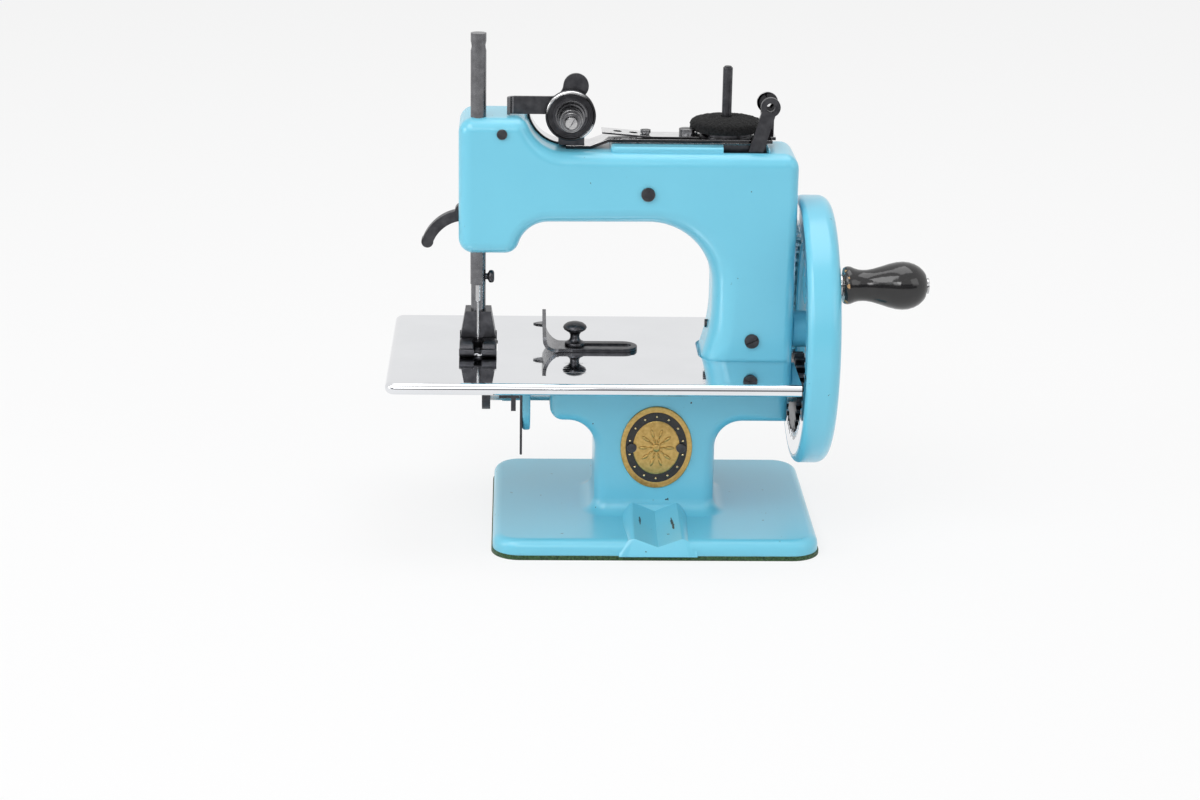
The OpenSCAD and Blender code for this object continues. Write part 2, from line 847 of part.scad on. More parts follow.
// Oval badge on the column
module badge_plate() {
  color(brass) difference() {
    translate([badge_x, 0, badge_z]) side_plate(-frame_d / 2 - badge_t / 2, badge_t)
      polygon(ellipse_points(badge_half_w, badge_half_h));
    for (side = [-1, 1])
      pin_y(-frame_d / 2 - badge_t - overrun, badge_t + 2 * overrun, badge_x + side * rivet_reach,
            badge_z, rivet_r / 2 + seat_play);
  }
}

// The two rivets of the badge
module badge_rivets() {
  color(blackened) for (side = [-1, 1]) {
    x = badge_x + side * rivet_reach;
    pin_y(-frame_d / 2 - badge_t - rivet_head, rivet_head, x, badge_z, rivet_r);
    pin_y(-frame_d / 2 - badge_t, badge_t + rivet_l - gap, x, badge_z, rivet_r / 2);
  }
}

// Slotted screws in the pillar's front and left faces
module arm_screws() {
  front = -arm_t / 2;
  side_head_x = side_screw_x - pillar_screw_head - pillar_screw_r * foot_flare / foot_flare_h;
  color(blackened) {
    difference() {
      union() {
        pin_y(front - pillar_screw_head, pillar_screw_head, pillar_screw_x, pillar_screw_z,
              pillar_screw_r);
        pin_y(front - weld, arm_wall + weld, pillar_screw_x, pillar_screw_z, pillar_screw_shank_r);
      }
      screw_slot_front(pillar_screw_x, front - pillar_screw_head, pillar_screw_z, pillar_screw_r,
                       pillar_slot_angle);
    }
    difference() {
      union() {
        pin_x(side_head_x, pillar_screw_head, 0, side_screw_z, pillar_screw_r);
        pin_x(side_head_x, pillar_left + pillar_inner_wall - side_head_x, 0, side_screw_z,
              pillar_screw_shank_r);
      }
      box([side_head_x - overrun, side_head_x + screw_slot_depth],
          [-pillar_screw_r - overrun, pillar_screw_r + overrun],
          [side_screw_z - screw_slot_w / 2, side_screw_z + screw_slot_w / 2]);
    }
  }
}

// Small screw in the head's front
module head_screw() {
  front = -arm_t / 2;
  color(blackened) {
    pin_y(front - pillar_screw_head / 2, pillar_screw_head, -head_screw_x, head_screw_z, head_screw_r / 2);
    pin_y(front - pillar_screw_head, pillar_screw_head, -head_screw_x, head_screw_z, head_screw_r);
    pin_y(front, arm_wall - gap, -head_screw_x, head_screw_z, head_screw_r / 2);
  }
}

// Screw on which the needle lever rocks
module lever_pivot_screw() {
  front = -arm_t / 2;
  color(blackened) {
    pin_y(front - pivot_head_t, pivot_head_t, -pivot_x, pivot_z, pivot_head_r);
    pin_y(front - weld, arm_t - arm_wall / 2, -pivot_x, pivot_z, pivot_r);
  }
}

// Side view of the top strap with its step down to the arm
module strap_outline() {
  step = strap_z - arm_top - seat_play;
  polygon([
    [strap_right, strap_z], [-strap_bend_start, strap_z], [-strap_bend_end, strap_z - step],
    [-strap_left, strap_z - step], [-strap_left, strap_z - step + strap_t],
    [-strap_bend_end, strap_z - step + strap_t], [-strap_bend_start, strap_z + strap_t],
    [strap_right, strap_z + strap_t]
  ]);
}

// Side view of the strap's curl, bent up along the hollow of the shoulder
module curl_outline() {
  outer = shoulder_r - curl_gap;
  translate([-strap_left, arm_top + shoulder_r]) intersection() {
    difference() {
      circle(outer);
      circle(outer - curl_t);
    }
    rect([-shoulder_r, weld], [-shoulder_r, curl_top - arm_top - shoulder_r]);
  }
}

// Black strap along the arm's top, with a curl at its left end and the rear ring guide at its right end
module top_strap() {
  ear_y = [strap_y, ring_guide_y + ring_guide_t / 2];
  color(blackened) difference() {
    union() {
      side_plate(strap_y, strap_d) strap_outline();
      side_plate(curl_y, curl_d) curl_outline();
      box([ring_guide_foot_left, ring_guide_foot_right], ear_y, [strap_z, strap_z + strap_t]);
      side_plate(ring_guide_y, ring_guide_t) {
        translate([ring_guide_x, ring_guide_z]) circle(ring_guide_r);
        polygon([
          [ring_guide_foot_left, strap_z], [ring_guide_foot_right, strap_z],
          [ring_guide_x + ring_neck_half, ring_guide_z], [ring_guide_x - ring_neck_half, ring_guide_z]
        ]);
      }
    }
    pin_y(ring_guide_y - ring_guide_t, 2 * ring_guide_t, ring_guide_x, ring_guide_z, ring_guide_hole_r);
    pin_z(strap_z - overrun, strap_t + 2 * overrun, spool_x, spool_y, spool_seat_r + seat_play);
    for (x = strap_screw_x)
      pin_z(strap_z - overrun, strap_t + 2 * overrun, x, strap_y, strap_screw_shank_r + seat_play);
  }
}

// Grey strip between the ridge and the strap
module strap_pad() {
  color(steel) difference() {
    box([-pad_left, pad_right], [strap_y - strap_d / 2, strap_y + strap_d / 2], [ridge_top, strap_z]);
    pin_z(ridge_top - overrun, pad_t + 2 * overrun, spool_x, spool_y, spool_seat_r + seat_play);
    for (x = strap_screw_x)
      pin_z(ridge_top - overrun, pad_t + 2 * overrun, x, strap_y, strap_screw_shank_r + seat_play);
  }
}

// Bright leaf spring on the strap, its free end lifted
module leaf_spring() {
  low = strap_z + strap_t;
  color(steel) difference() {
    side_plate(strap_y, leaf_d) polygon([
      [leaf_right, low], [-leaf_touch, low], [-leaf_left, low + leaf_rise],
      [-leaf_left, low + leaf_rise + leaf_t], [-leaf_touch, low + leaf_t], [leaf_right, low + leaf_t]
    ]);
    for (x = concat(leaf_holes, strap_screw_x))
      pin_z(low - overrun, leaf_rise + leaf_t + 2 * overrun, x, strap_y, leaf_hole_r);
  }
}

// The two screws through strap and leaf spring
module strap_screws() {
  low = strap_z + strap_t + leaf_t;
  rises = [0, leaf_rise * (strap_screw_x[1] + leaf_touch) / (leaf_touch - leaf_left)];
  color(blackened) for (i = [0, 1]) {
    seat = low + max(0, rises[i]) + i * gap;
    difference() {
      union() {
        pin_z(seat, strap_screw_head[i], strap_screw_x[i], strap_y, strap_screw_r[i]);
        pin_z(ridge_top - strap_screw_l + gap, seat - ridge_top + strap_screw_l - gap + weld,
              strap_screw_x[i], strap_y, strap_screw_shank_r);
      }
      box([strap_screw_x[i] - strap_screw_r[i] - overrun, strap_screw_x[i] + strap_screw_r[i] + overrun],
          [strap_y - screw_slot_w / 2, strap_y + screw_slot_w / 2],
          [seat + strap_screw_head[i] - screw_slot_depth, seat + strap_screw_head[i] + overrun]);
    }
  }
}

// Bracket behind the tension discs: foot, guide arm to the left, round paddle above
module tension_bracket() {
  y = -bracket_y;
  foot_z = arm_top + strap_t + 2 * seat_play;
  color(blackened) difference() {
    union() {
      side_plate(y, bracket_t) {
        translate([-tension_x, tension_z]) circle(bracket_core_r);
        rect([-bracket_foot_left, -bracket_foot_right], [foot_z, tension_z]);
        rect([-guide_arm_left, -tension_x], [guide_arm_bottom, guide_arm_bottom + guide_arm_h]);
        translate([-paddle_x, paddle_z]) circle(paddle_r);
        rect([-paddle_x - paddle_neck_w / 2, -paddle_x + paddle_neck_w / 2], [tension_z, paddle_z]);
        corner_fill(-paddle_x - paddle_neck_w / 2, guide_arm_bottom + guide_arm_h, guide_fillet_r, -1, 1);
      }
      box([-bracket_foot_left, -bracket_foot_right], [y - bracket_t / 2, strap_y + strap_d / 4],
          [foot_z, foot_z + bracket_t]);
      box([-guide_arm_left, -guide_arm_left + bracket_t], [y - guide_hook, y],
          [guide_arm_bottom, guide_arm_bottom + guide_arm_h]);
    }
    pin_y(y - bracket_t, 2 * bracket_t, -tension_x, tension_z, stud_rad + seat_play);
  }
}

// Stud that carries the tension discs, slotted at its front end
module tension_stud() {
  y = -bracket_y - bracket_t / 2;
  color(steel) difference() {
    pin_y(y - stud_len, stud_len + bracket_t, -tension_x, tension_z, stud_rad);
    translate([-tension_x, y - stud_len, tension_z]) rotate([0, stud_slot_angle, 0])
      box([-stud_rad - overrun, stud_rad + overrun], [-overrun, stud_slot_depth],
          [-stud_slot_w / 2, stud_slot_w / 2]);
  }
}

// Section of a dished tension disc
module disc_section(rise) {
  far = disc_r - disc_t / 2;
  difference() {
    union() {
      rect([0, disc_flat_r], [0, disc_t]);
      polygon([[disc_flat_r - weld, 0], [disc_flat_r, 0], [far, rise], [far, rise + disc_t],
               [disc_flat_r, disc_t], [disc_flat_r - weld, disc_t]]);
      translate([far, rise + disc_t / 2]) circle(disc_t / 2);
    }
    rect([-overrun, stud_rad + run_play], [-overrun, disc_t + overrun]);
  }
}

// Rear tension disc, dished to the back
module tension_disc_rear() {
  color(blackened)
    turned_front(-tension_x, -bracket_y - bracket_t / 2 - disc_dish - seat_play, tension_z)
      disc_section(-disc_dish);
}

// Front tension disc, dished to the front
module tension_disc_front() {
  color(steel)
    turned_front(-tension_x, -bracket_y - bracket_t / 2 - disc_dish - disc_t - 2 * seat_play, tension_z)
      disc_section(disc_dish);
}

// Rings of the conical spring: its middle line as radius, angle and depth, then the wire's sides
spring_back = disc_dish + 2 * disc_t + spring_wire_r + 2 * seat_play + gap / 3;
spring_front = nut_from - spring_wire_r - gap / 3;
spring_count = spring_turns * spring_rings;
function spring_radius(i) = spring_large_r + (spring_small_r - spring_large_r) * i / spring_count;
function spring_depth(i) = spring_back + (spring_front - spring_back) * i / spring_count;
function spring_point(i, out, along) =
  let (a = 360 * i / spring_rings, r = spring_radius(i) + out)
    [r * cos(a), -spring_depth(i) - along, r * sin(a)];
spring_points = [
  for (i = [0 : spring_count])
    for (s = [0 : spring_sides - 1])
      let (b = 360 * s / spring_sides) spring_point(i, spring_wire_r * cos(b), spring_wire_r * sin(b))
];
spring_walls = [
  for (i = [0 : spring_count - 1])
    for (s = [0 : spring_sides - 1])
      let (a = i * spring_sides + s, b = i * spring_sides + (s + 1) % spring_sides)
        each [[a, b, a + spring_sides], [b, b + spring_sides, a + spring_sides]]
];
spring_start = [for (s = [1 : spring_sides - 2]) [0, s + 1, s]];
spring_end_first = spring_count * spring_sides;
spring_end = [
  for (s = [1 : spring_sides - 2]) [spring_end_first, spring_end_first + s, spring_end_first + s + 1]
];
spring_gap = min([
  for (i = [0 : spring_count])
    for (j = [i + spring_rings / 2 : 1 : spring_count])
      norm(spring_point(i, 0, 0) - spring_point(j, 0, 0)) - 2 * spring_wire_r
]);
echo(spring_gap = spring_gap);

// Conical spring between the front disc and the nut, one unbroken wire
module tension_spring() {
  color(steel)
    translate([-tension_x, -bracket_y - bracket_t / 2, tension_z])
      polyhedron(points = spring_points, faces = concat(spring_walls, spring_start, spring_end));
}

// Round nut that sets the tension
module tension_nut() {
  y = -bracket_y - bracket_t / 2 - nut_from;
  color(steel) turned_front(-tension_x, y, tension_z) {
    rect([stud_rad + run_play, nut_r], [0, nut_grip_l]);
    rect([stud_rad + run_play, nut_end_r], [0, nut_l]);
  }
}

// Pin for the thread spool
module spool_pin() {
  low = arm_top - arm_roof;
  color(blackened) translate([spool_x, spool_y, low]) rotate_extrude() {
    rect([0, spool_seat_r], [0, spool_seat_top - low]);
    rect([0, spool_pin_r], [0, spool_pin_top - low - spool_pin_tip]);
    rect([0, spool_pin_r - spool_pin_tip], [0, spool_pin_top - low]);
  }
}

// Dark disc under the felt
module spool_washer() {
  low = strap_z + strap_t;
  color(blackened) difference() {
    pin_z(low, spool_washer_t, spool_x, spool_y, spool_washer_r);
    pin_z(low - overrun, spool_washer_t + 2 * overrun, spool_x, spool_y, spool_seat_r + seat_play);
  }
}

// Felt disc on which the spool turns, softly rounded
module spool_felt() {
  low = strap_z + strap_t + spool_washer_t;
  color(black_felt) translate([spool_x, spool_y, low]) rotate_extrude() {
    rect([spool_seat_r + seat_play, spool_felt_r - spool_felt_round], [0, spool_felt_t]);
    rect([spool_seat_r + seat_play, spool_felt_r], [spool_felt_round, spool_felt_t - spool_felt_round]);
    for (z = [spool_felt_round, spool_felt_t - spool_felt_round])
      translate([spool_felt_r - spool_felt_round, z]) circle(spool_felt_round);
  }
}

// Fixed stud on which the wheel turns
module wheel_stud() {
  left = arm_right - arm_wall;
  color(steel) pin_x(left, wheel_right + gap - left, 0, wheel_z, stud_r);
}

// Screw and washer that keep the wheel on its stud
module wheel_screw() {
  color(steel) difference() {
    pin_x(wheel_right + gap, screw_head_h, 0, wheel_z, hub_r);
    box([wheel_right + gap + screw_head_h - screw_slot_depth, wheel_right + gap + screw_head_h + overrun],
        [-hub_r - overrun, hub_r + overrun],
        [wheel_z - screw_slot_w / 2, wheel_z + screw_slot_w / 2]);
  }
}

// Half section of the wheel: rim, web and hub
module wheel_section() {
  web_x = wheel_w - web_t - web_set_back;
  difference() {
    union() {
      rect([rim_inner_r, wheel_r], [rim_left_edge_r, wheel_w - rim_edge_r]);
      rect([rim_inner_r, wheel_r - rim_edge_r], [0, wheel_w]);
      rect([wheel_r - rim_edge_r - weld, wheel_r - rim_left_edge_r], [0, wheel_w - rim_edge_r]);
      translate([wheel_r - rim_left_edge_r, rim_left_edge_r]) circle(rim_left_edge_r);
      translate([wheel_r - rim_edge_r, wheel_w - rim_edge_r]) circle(rim_edge_r);
      rect([stud_r + run_play, rim_inner_r + weld], [web_x - web_t / 2, web_x + web_t / 2]);
      rect([stud_r + run_play, hub_r], [hub_left - wheel_x, wheel_w]);
    }
    rect([0, ring_outer_r + seat_play], [-overrun, gear_w + seat_play]);
  }
  rect([stud_r + run_play, hub_r], [hub_left - wheel_x, wheel_w]);
}

// Hand wheel with round windows in its web
module hand_wheel() {
  color(enamel) difference() {
    turned_x(wheel_x, 0, wheel_z) wheel_section();
    for (i = [0 : window_count - 1])
      let (a = (i + 0.5) * 360 / window_count)
        pin_x(wheel_x, wheel_w + overrun, window_reach * cos(a), wheel_z + window_reach * sin(a), window_r);
    pin_x(wheel_x + gear_w, wheel_w, handle_y, handle_z, handle_pin_r + seat_play);
  }
}

// Bright internal ring gear in the wheel's left face
module ring_gear() {
  tip_r = ring_pitch_r - addendum_share * gear_module;
  root_r = ring_pitch_r + dedendum_share * gear_module;
  color(chrome) translate([0, 0, wheel_z]) bar_x(wheel_x, gear_w) difference() {
    circle(ring_outer_r, $fn = 2 * $fn);
    polygon(teeth_points(ring_teeth, root_r, tip_r, 0.5 - root_share, 0.5 - tip_share, -90));
  }
}

// Pin of the handle, with a collar at the rim and a riveted end
module handle_pin() {
  left = wheel_x + gear_w + gap;
  end = handle_x + handle_l + gap;
  color(steel) {
    pin_x(left, end - left + handle_rivet_t / 2, handle_y, handle_z, handle_pin_r);
    pin_x(wheel_right, handle_collar_t, handle_y, handle_z, handle_collar_r);
    pin_x(end, handle_rivet_t, handle_y, handle_z, handle_rivet_r);
  }
}

// Radius of the handle between two stations, eased by a cosine
function handle_point(i, k) =
  let (t = k / handle_steps,
       e = (1 - cos(180 * t)) / 2,
       s = handle_stations_share[i] * (1 - t) + handle_stations_share[i + 1] * t,
       r = handle_radii_share[i] * (1 - e) + handle_radii_share[i + 1] * e)
    [handle_r * r, handle_l * s];

// Turned wooden handle that spins on its pin
module crank_handle() {
  last = len(handle_stations_share) - 2;
  profile = [for (i = [0 : last]) for (k = [0 : handle_steps - 1]) handle_point(i, k)];
  bore = handle_pin_r + run_play;
  color(lacquer) turned_x(handle_x, handle_y, handle_z)
    polygon(concat([[bore, 0]], profile, [handle_point(last, handle_steps)], [[bore, handle_l]]));
}

// Bronze bushes of the main shaft in the bed's end walls
module shaft_bushes() {
  color(brass) for (x = [-bed_left, bed_right - bed_wall]) difference() {
    pin_x(x, bed_wall, 0, shaft_z, bush_r);
    pin_x(x - overrun, bed_wall + 2 * overrun, 0, shaft_z, shaft_r + run_play);
  }
}

// Main shaft under the bed, in two stretches that the crank joins
module main_shaft() {
  color(steel) {
    pin_x(-shaft_left, shaft_left + crank_left_x + crank_w, 0, shaft_z, shaft_r);
    pin_x(crank_right_x, shaft_right - crank_right_x, 0, shaft_z, shaft_r);
  }
}

// Dark pinion that the ring gear drives
module shaft_pinion() {
  tip_r = pinion_pitch_r + addendum_share * gear_module;
  root_r = pinion_pitch_r - dedendum_share * gear_module;
  color(blackened) translate([0, 0, shaft_z]) difference() {
    bar_x(pinion_x, pinion_w)
      polygon(teeth_points(pinion_teeth, tip_r, root_r, tip_share, root_share, -90));
    pin_x(pinion_x - overrun, pinion_w + 2 * overrun, 0, 0, shaft_r + seat_play);
  }
}

// The two webs of the crank that drives the pitman; its pin is left out, so the pitman moves by itself
module needle_crank() {
  color(steel) for (x = [crank_left_x, crank_right_x]) difference() {
    bar_x(x, crank_w) {
      translate([0, shaft_z]) circle(shaft_r + crank_wall + crank_wall);
      translate([0, crank_z]) circle(crank_pin_r + crank_wall);
      rect([-crank_pin_r - crank_wall, crank_pin_r + crank_wall], [crank_z, shaft_z]);
    }
    pin_x(x - overrun, crank_w + 2 * overrun, 0, shaft_z, shaft_r + seat_play);
  }
}

// Eccentric that moves the feed
module feed_cam() {
  color(steel) difference() {
    pin_x(-cam_x, cam_w, 0, shaft_z + cam_offset, cam_r);
    pin_x(-cam_x - overrun, cam_w + 2 * overrun, 0, shaft_z, shaft_r + seat_play);
  }
}

// Looper on the shaft's left end: a disc cut away to leave one hook
module looper() {
  color(steel) difference() {
    union() {
      bar_x(-looper_x, looper_w) translate([0, shaft_z]) difference() {
        circle(looper_r);
        circle(looper_r - looper_hook_w);
        rect([0, looper_r + overrun], [-looper_r - overrun, 0]);
      }
      bar_x(-looper_x, looper_w) translate([0, shaft_z]) {
        circle(shaft_r + crank_wall);
        rect([-looper_r + looper_hook_w / 2, 0], [-looper_hook_w / 2, looper_hook_w / 2]);
      }
    }
    pin_x(-shaft_left - seat_play, looper_w + overrun, 0, shaft_z, shaft_r + seat_play);
  }
}

// Feed bar with its toothed dog, front flange and follower tab
module feed_bar() {
  y = [-feed_front, dog_back];
  dog_x = [-dog_left, -dog_left + dog_w];
  teeth = floor((dog_back + dog_front) / dog_tooth_pitch);
  color(blackened) {
    difference() {
      union() {
        box([-dog_left, -feed_right], y, [feed_z, feed_z + feed_t]);
        box([-flange_left, -flange_right], [-feed_front, -feed_front + feed_t],
            [flange_bottom, feed_z + feed_t]);
        box([-tab_left, -tab_right], [-feed_front, -feed_front + feed_t],
            [tab_bottom, flange_bottom + weld]);
        box(dog_x, [-dog_front, dog_back], [feed_z, plate_top]);
      }
      for (i = [0 : teeth - 1])
        translate([-dog_left - overrun, -dog_front + (i + 0.5) * dog_tooth_pitch, plate_top])
          rotate([dog_tooth_angle, 0, 0]) translate([0, -dog_tooth_h / 2, -dog_tooth_h / 2])
            cube([dog_w + 2 * overrun, dog_tooth_h, dog_tooth_h]);
    }
  }
}

// Leaf that hangs on the lug
module feed_spring() {
  color(blackened)
    box([-lug_left - feed_spring_t, -lug_left], [-feed_spring_front, -feed_spring_front + feed_spring_w],
        [feed_spring_bottom, feed_spring_top]);
}

// Needle bar with its thread hole, stud hole, needle socket and screw hole
module needle_bar() {
  hole_z = needle_bar_top - thread_hole_drop;
  color(blackened) difference() {
    pin_z(needle_bar_bottom, needle_bar_top - needle_bar_bottom, -needle_x, -needle_y, needle_bar_r);
    pin_x(-needle_x - needle_bar_r - overrun, 2 * needle_bar_r + 2 * overrun, -needle_y, hole_z,
          thread_hole_r);
    for (side = [-1, 1])
      translate([-needle_x + side * (needle_bar_r + thread_notch_out), -needle_y, hole_z])
        sphere(thread_notch_r);
    pin_z(needle_bar_bottom - overrun, shank_l + overrun, -needle_x, -needle_y, shank_r + seat_play);
    pin_x(-needle_x + shank_r, needle_bar_r + overrun, -needle_y, clamp_screw_z, clamp_screw_r + run_play);
    pin_x(-needle_x, needle_bar_r + overrun, -needle_y, stud_z, stud_pin_r + seat_play);
  }
}

// Stud through which the lever moves the bar
module needle_stud() {
  color(steel) pin_x(-needle_x, needle_x - stud_x + stud_half, -needle_y, stud_z, stud_pin_r);
}

// Needle: shank in the bar, blade and point below
module needle() {
  top = needle_bar_bottom + shank_l - gap;
  shank_end = needle_bar_bottom - shank_out;
  color(steel) translate([-needle_x, -needle_y, 0]) rotate_extrude()
    polygon([[0, top], [shank_r, top], [shank_r, shank_end], [blade_r, shank_end - shank_r],
             [blade_r, needle_tip + needle_point_l], [0, needle_tip]]);
}

// Thumb screw that holds the needle
module needle_clamp_screw() {
  from = -needle_x + shank_r + gap;
  head = -needle_x + needle_bar_r + clamp_neck_l;
  color(blackened) {
    pin_x(from, head - from + weld, -needle_y, clamp_screw_z, clamp_screw_r);
    pin_x(head, clamp_head_l, -needle_y, clamp_screw_z, clamp_head_r);
  }
}

// Side view of the needle lever, as it stands with the needle raised
module lever_outline() {
  half_tip = lever_tip_h / 2;
  lean = atan((eyelet_x - finger_foot_x) / (eyelet_z - finger_foot_z));
  finger_l = norm([eyelet_x - finger_foot_x, eyelet_z - finger_foot_z]);
  difference() {
    union() {
      translate([-pivot_x, pivot_z]) rotate(-lever_tilt) {
        circle(pivot_r + 2 * lever_eye_wall);
        polygon([
          [-lever_reach - stud_half + gap, half_tip], [-lever_reach - stud_half + gap, -half_tip],
          [-lever_reach + fork_slot_l, -half_tip], [lever_pin_reach, -lever_h / 2],
          [lever_pin_reach, lever_h / 2], [-lever_reach + fork_slot_l, half_tip]
        ]);
        translate([lever_pin_reach, 0]) circle(lever_pin_r + lever_eye_wall);
      }
      translate([eyelet_x, eyelet_z]) circle(eyelet_r);
      translate([finger_foot_x, finger_foot_z]) rotate(-lean)
        rect([-finger_w / 2, finger_w / 2], [-lever_h / 2, finger_l]);
    }
    translate([eyelet_x, eyelet_z]) circle(eyelet_hole_r);
    translate([-pivot_x, pivot_z]) rotate(-lever_tilt)
      rect([-lever_reach - stud_half - overrun, -lever_reach + fork_slot_l - stud_half],
           [-stud_pin_r - fork_play, stud_pin_r + fork_play]);
    translate([-pivot_x, pivot_z]) circle(pivot_r + run_play);
    translate([lever_pin_x, lever_pin_z]) circle(lever_pin_r + run_play);
  }
}

// Needle lever with the moving thread finger at its right end
module needle_lever() {
  color(blackened) side_plate(-needle_y, lever_t) lever_outline();
}

// Pitman between the lever and the crank, with its pin through the lever
module pitman() {
  top = lever_pin_z - pitman_top_eye_r / 2;
  color(steel) difference() {
    union() {
      pin_y(pitman_y - pitman_w / 2, pitman_w, lever_pin_x, lever_pin_z, pitman_top_eye_r);
      pin_y(-needle_y - lever_t / 2, pitman_y + needle_y + lever_t / 2, lever_pin_x, lever_pin_z,
            lever_pin_r);
      bar_x(pitman_x, pitman_w) {
        translate([0, crank_z]) circle(pitman_eye_r);
        polygon([
          [-pitman_half, crank_z], [pitman_half, crank_z], [pitman_y + pitman_half, top],
          [pitman_y - pitman_half, top]
        ]);
      }
    }
    pin_x(pitman_x - overrun, pitman_w + 2 * overrun, 0, crank_z, crank_pin_r + run_play);
  }
}

// Presser bar behind the needle bar
module presser_bar() {
  low = foot_block_bottom + gap;
  color(blackened) pin_z(low, presser_top - low, -needle_x, presser_y, presser_bar_r);
}

// Collar that the lifter raises
module presser_collar() {
  color(steel) difference() {
    pin_z(collar_z, collar_h, -needle_x, presser_y, collar_r);
    pin_z(collar_z - overrun, collar_h + 2 * overrun, -needle_x, presser_y, presser_bar_r + seat_play);
  }
}

// Presser spring between the collar and the head's roof, as a plain sleeve
module presser_spring() {
  low = collar_z + collar_h;
  high = head_top - head_roof;
  color(steel) difference() {
    pin_z(low, high - low, -needle_x, presser_y, spring_sleeve_r);
    pin_z(low - overrun, high - low + 2 * overrun, -needle_x, presser_y, presser_bar_r + gap);
  }
}

// Presser foot: block on the bar, riser, and a split sole that curls up at the toes
module presser_foot() {
  sole = plate_top + gap;
  heel = presser_y + presser_bar_r + foot_heel;
  front = -foot_front + foot_curl_r;
  color(blackened) difference() {
    union() {
      box([-needle_x - foot_block_w / 2, -needle_x + foot_block_w / 2], [-foot_block_front, heel],
          [foot_block_bottom, foot_block_top]);
      box([-needle_x - foot_w / 2, -needle_x + foot_w / 2], [heel - foot_riser_t, heel],
          [sole, foot_block_bottom + weld]);
      bar_x(-needle_x - foot_w / 2, foot_w) {
        rect([front, heel], [sole, sole + foot_sole_t]);
        intersection() {
          difference() {
            translate([front, sole + foot_curl_r]) circle(foot_curl_r);
            translate([front, sole + foot_curl_r]) circle(foot_curl_r - foot_sole_t);
          }
          rect([-foot_front, front + weld], [sole, sole + foot_curl_r]);
        }
      }
    }
    pin_z(foot_block_bottom - overrun, foot_block_top - foot_block_bottom + 2 * overrun,
          -needle_x, presser_y, presser_bar_r + seat_play);
    box([-needle_x - foot_slot_w / 2, -needle_x + foot_slot_w / 2], [-foot_front - overrun, -needle_y],
        [sole - overrun, foot_block_bottom]);
    pin_z(sole - overrun, foot_sole_t + 2 * overrun, -needle_x, -needle_y, foot_hole_r);
  }
}

// Curved finger that lifts the presser foot
module presser_lifter() {
  tip = lifter_start_angle + lifter_sweep_angle;
  color(blackened) difference() {
    union() {
      pin_y(presser_y - lifter_t / 2, lifter_t, -lifter_x, lifter_z, lifter_hub_r);
      translate([-lifter_arc_x, presser_y, lifter_arc_z]) rotate([90, 0, 0]) {
        rotate([0, 0, lifter_start_angle]) rotate_extrude(angle = lifter_sweep_angle)
          translate([lifter_arc_r - lifter_w / 2, -lifter_t / 2]) square([lifter_w, lifter_t]);
        translate([lifter_arc_r * cos(tip), lifter_arc_r * sin(tip), -lifter_t / 2])
          cylinder(h = lifter_t, r = lifter_tip_r);
      }
    }
    pin_y(presser_y - lifter_t, 2 * lifter_t, -lifter_x, lifter_z, lifter_pin_r + run_play);
  }
}

// Pin of the lifter in the head
module lifter_pin() {
  color(steel) pin_y(presser_y - lifter_pin_l / 2, lifter_pin_l, -lifter_x, lifter_z, lifter_pin_r);
}

// Cloth gauge: slotted strip, fanned end and upright fence with a small tongue
module cloth_gauge() {
  low = plate_top + gauge_lift;
  color(blackened) difference() {
    union() {
      translate([0, 0, low]) linear_extrude(gauge_t) {
        polygon([
          [-gauge_fence_x, -gauge_fan_d / 2], [-gauge_fan_x, -gauge_w / 2],
          [-gauge_right - gauge_w / 2, -gauge_w / 2], [-gauge_right - gauge_w / 2, gauge_w / 2],
          [-gauge_fan_x, gauge_w / 2], [-gauge_fence_x, gauge_fan_d / 2]
        ]);
        translate([-gauge_right - gauge_w / 2, 0]) circle(gauge_w / 2);
      }
      bar_x(-gauge_fence_x, gauge_t) polygon([
        [-gauge_fan_d / 2, low], [gauge_fan_d / 2, low], [gauge_fan_d / 2, low + fence_h],
        [0, low + fence_h - fence_notch / 2], [-gauge_fan_d / 2, low + fence_notch]
      ]);
      box([-gauge_fence_x - tongue_reach, -gauge_fence_x + weld],
          [gauge_fan_d / 2 - tongue_w, gauge_fan_d / 2], [low + tongue_z, low + tongue_z + gauge_t]);
    }
    translate([0, 0, low - overrun]) linear_extrude(gauge_t + 2 * overrun) {
      rect([-gauge_slot_left, -gauge_slot_right], [-gauge_slot_r, gauge_slot_r]);
      translate([-gauge_slot_left, 0]) circle(gauge_slot_r);
      translate([-gauge_slot_right, 0]) circle(gauge_slot_r);
    }
  }
}

// Thumb screw of the gauge
module gauge_screw() {
  seat = plate_top + gauge_lift + gauge_t + gauge_lift;
  color(blackened) translate([-gauge_x, 0, 0]) rotate_extrude() {
    rect([0, gauge_screw_r], [plate_top - gauge_screw_l, seat + weld]);
    rect([0, gauge_collar_r], [seat, seat + gauge_collar_t]);
    rect([0, gauge_neck_r], [seat, gauge_head_z + weld]);
    rect([0, gauge_head_r], [gauge_head_z, gauge_head_z + gauge_head_h]);
  }
}

base_casting();
base_felt();
arm_casting();
cloth_plate();
badge_plate();
badge_rivets();
arm_screws();
head_screw();
lever_pivot_screw();
top_strap();
strap_pad();
leaf_spring();
strap_screws();
tension_bracket();
tension_stud();
tension_disc_rear();
tension_disc_front();
tension_spring();
tension_nut();
spool_pin();
spool_washer();
spool_felt();
wheel_stud();
wheel_screw();
hand_wheel();
ring_gear();
handle_pin();
crank_handle();
shaft_bushes();
main_shaft();
shaft_pinion();
needle_crank();
feed_cam();
looper();
feed_bar();
feed_spring();
needle_bar();
needle_stud();
needle();
needle_clamp_screw();
needle_lever();
pitman();
presser_bar();
presser_collar();
presser_spring();
presser_foot();
presser_lifter();
lifter_pin();
cloth_gauge();
gauge_screw();
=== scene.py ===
import math

import bmesh
import bpy
from mathutils import Matrix, Vector, noise


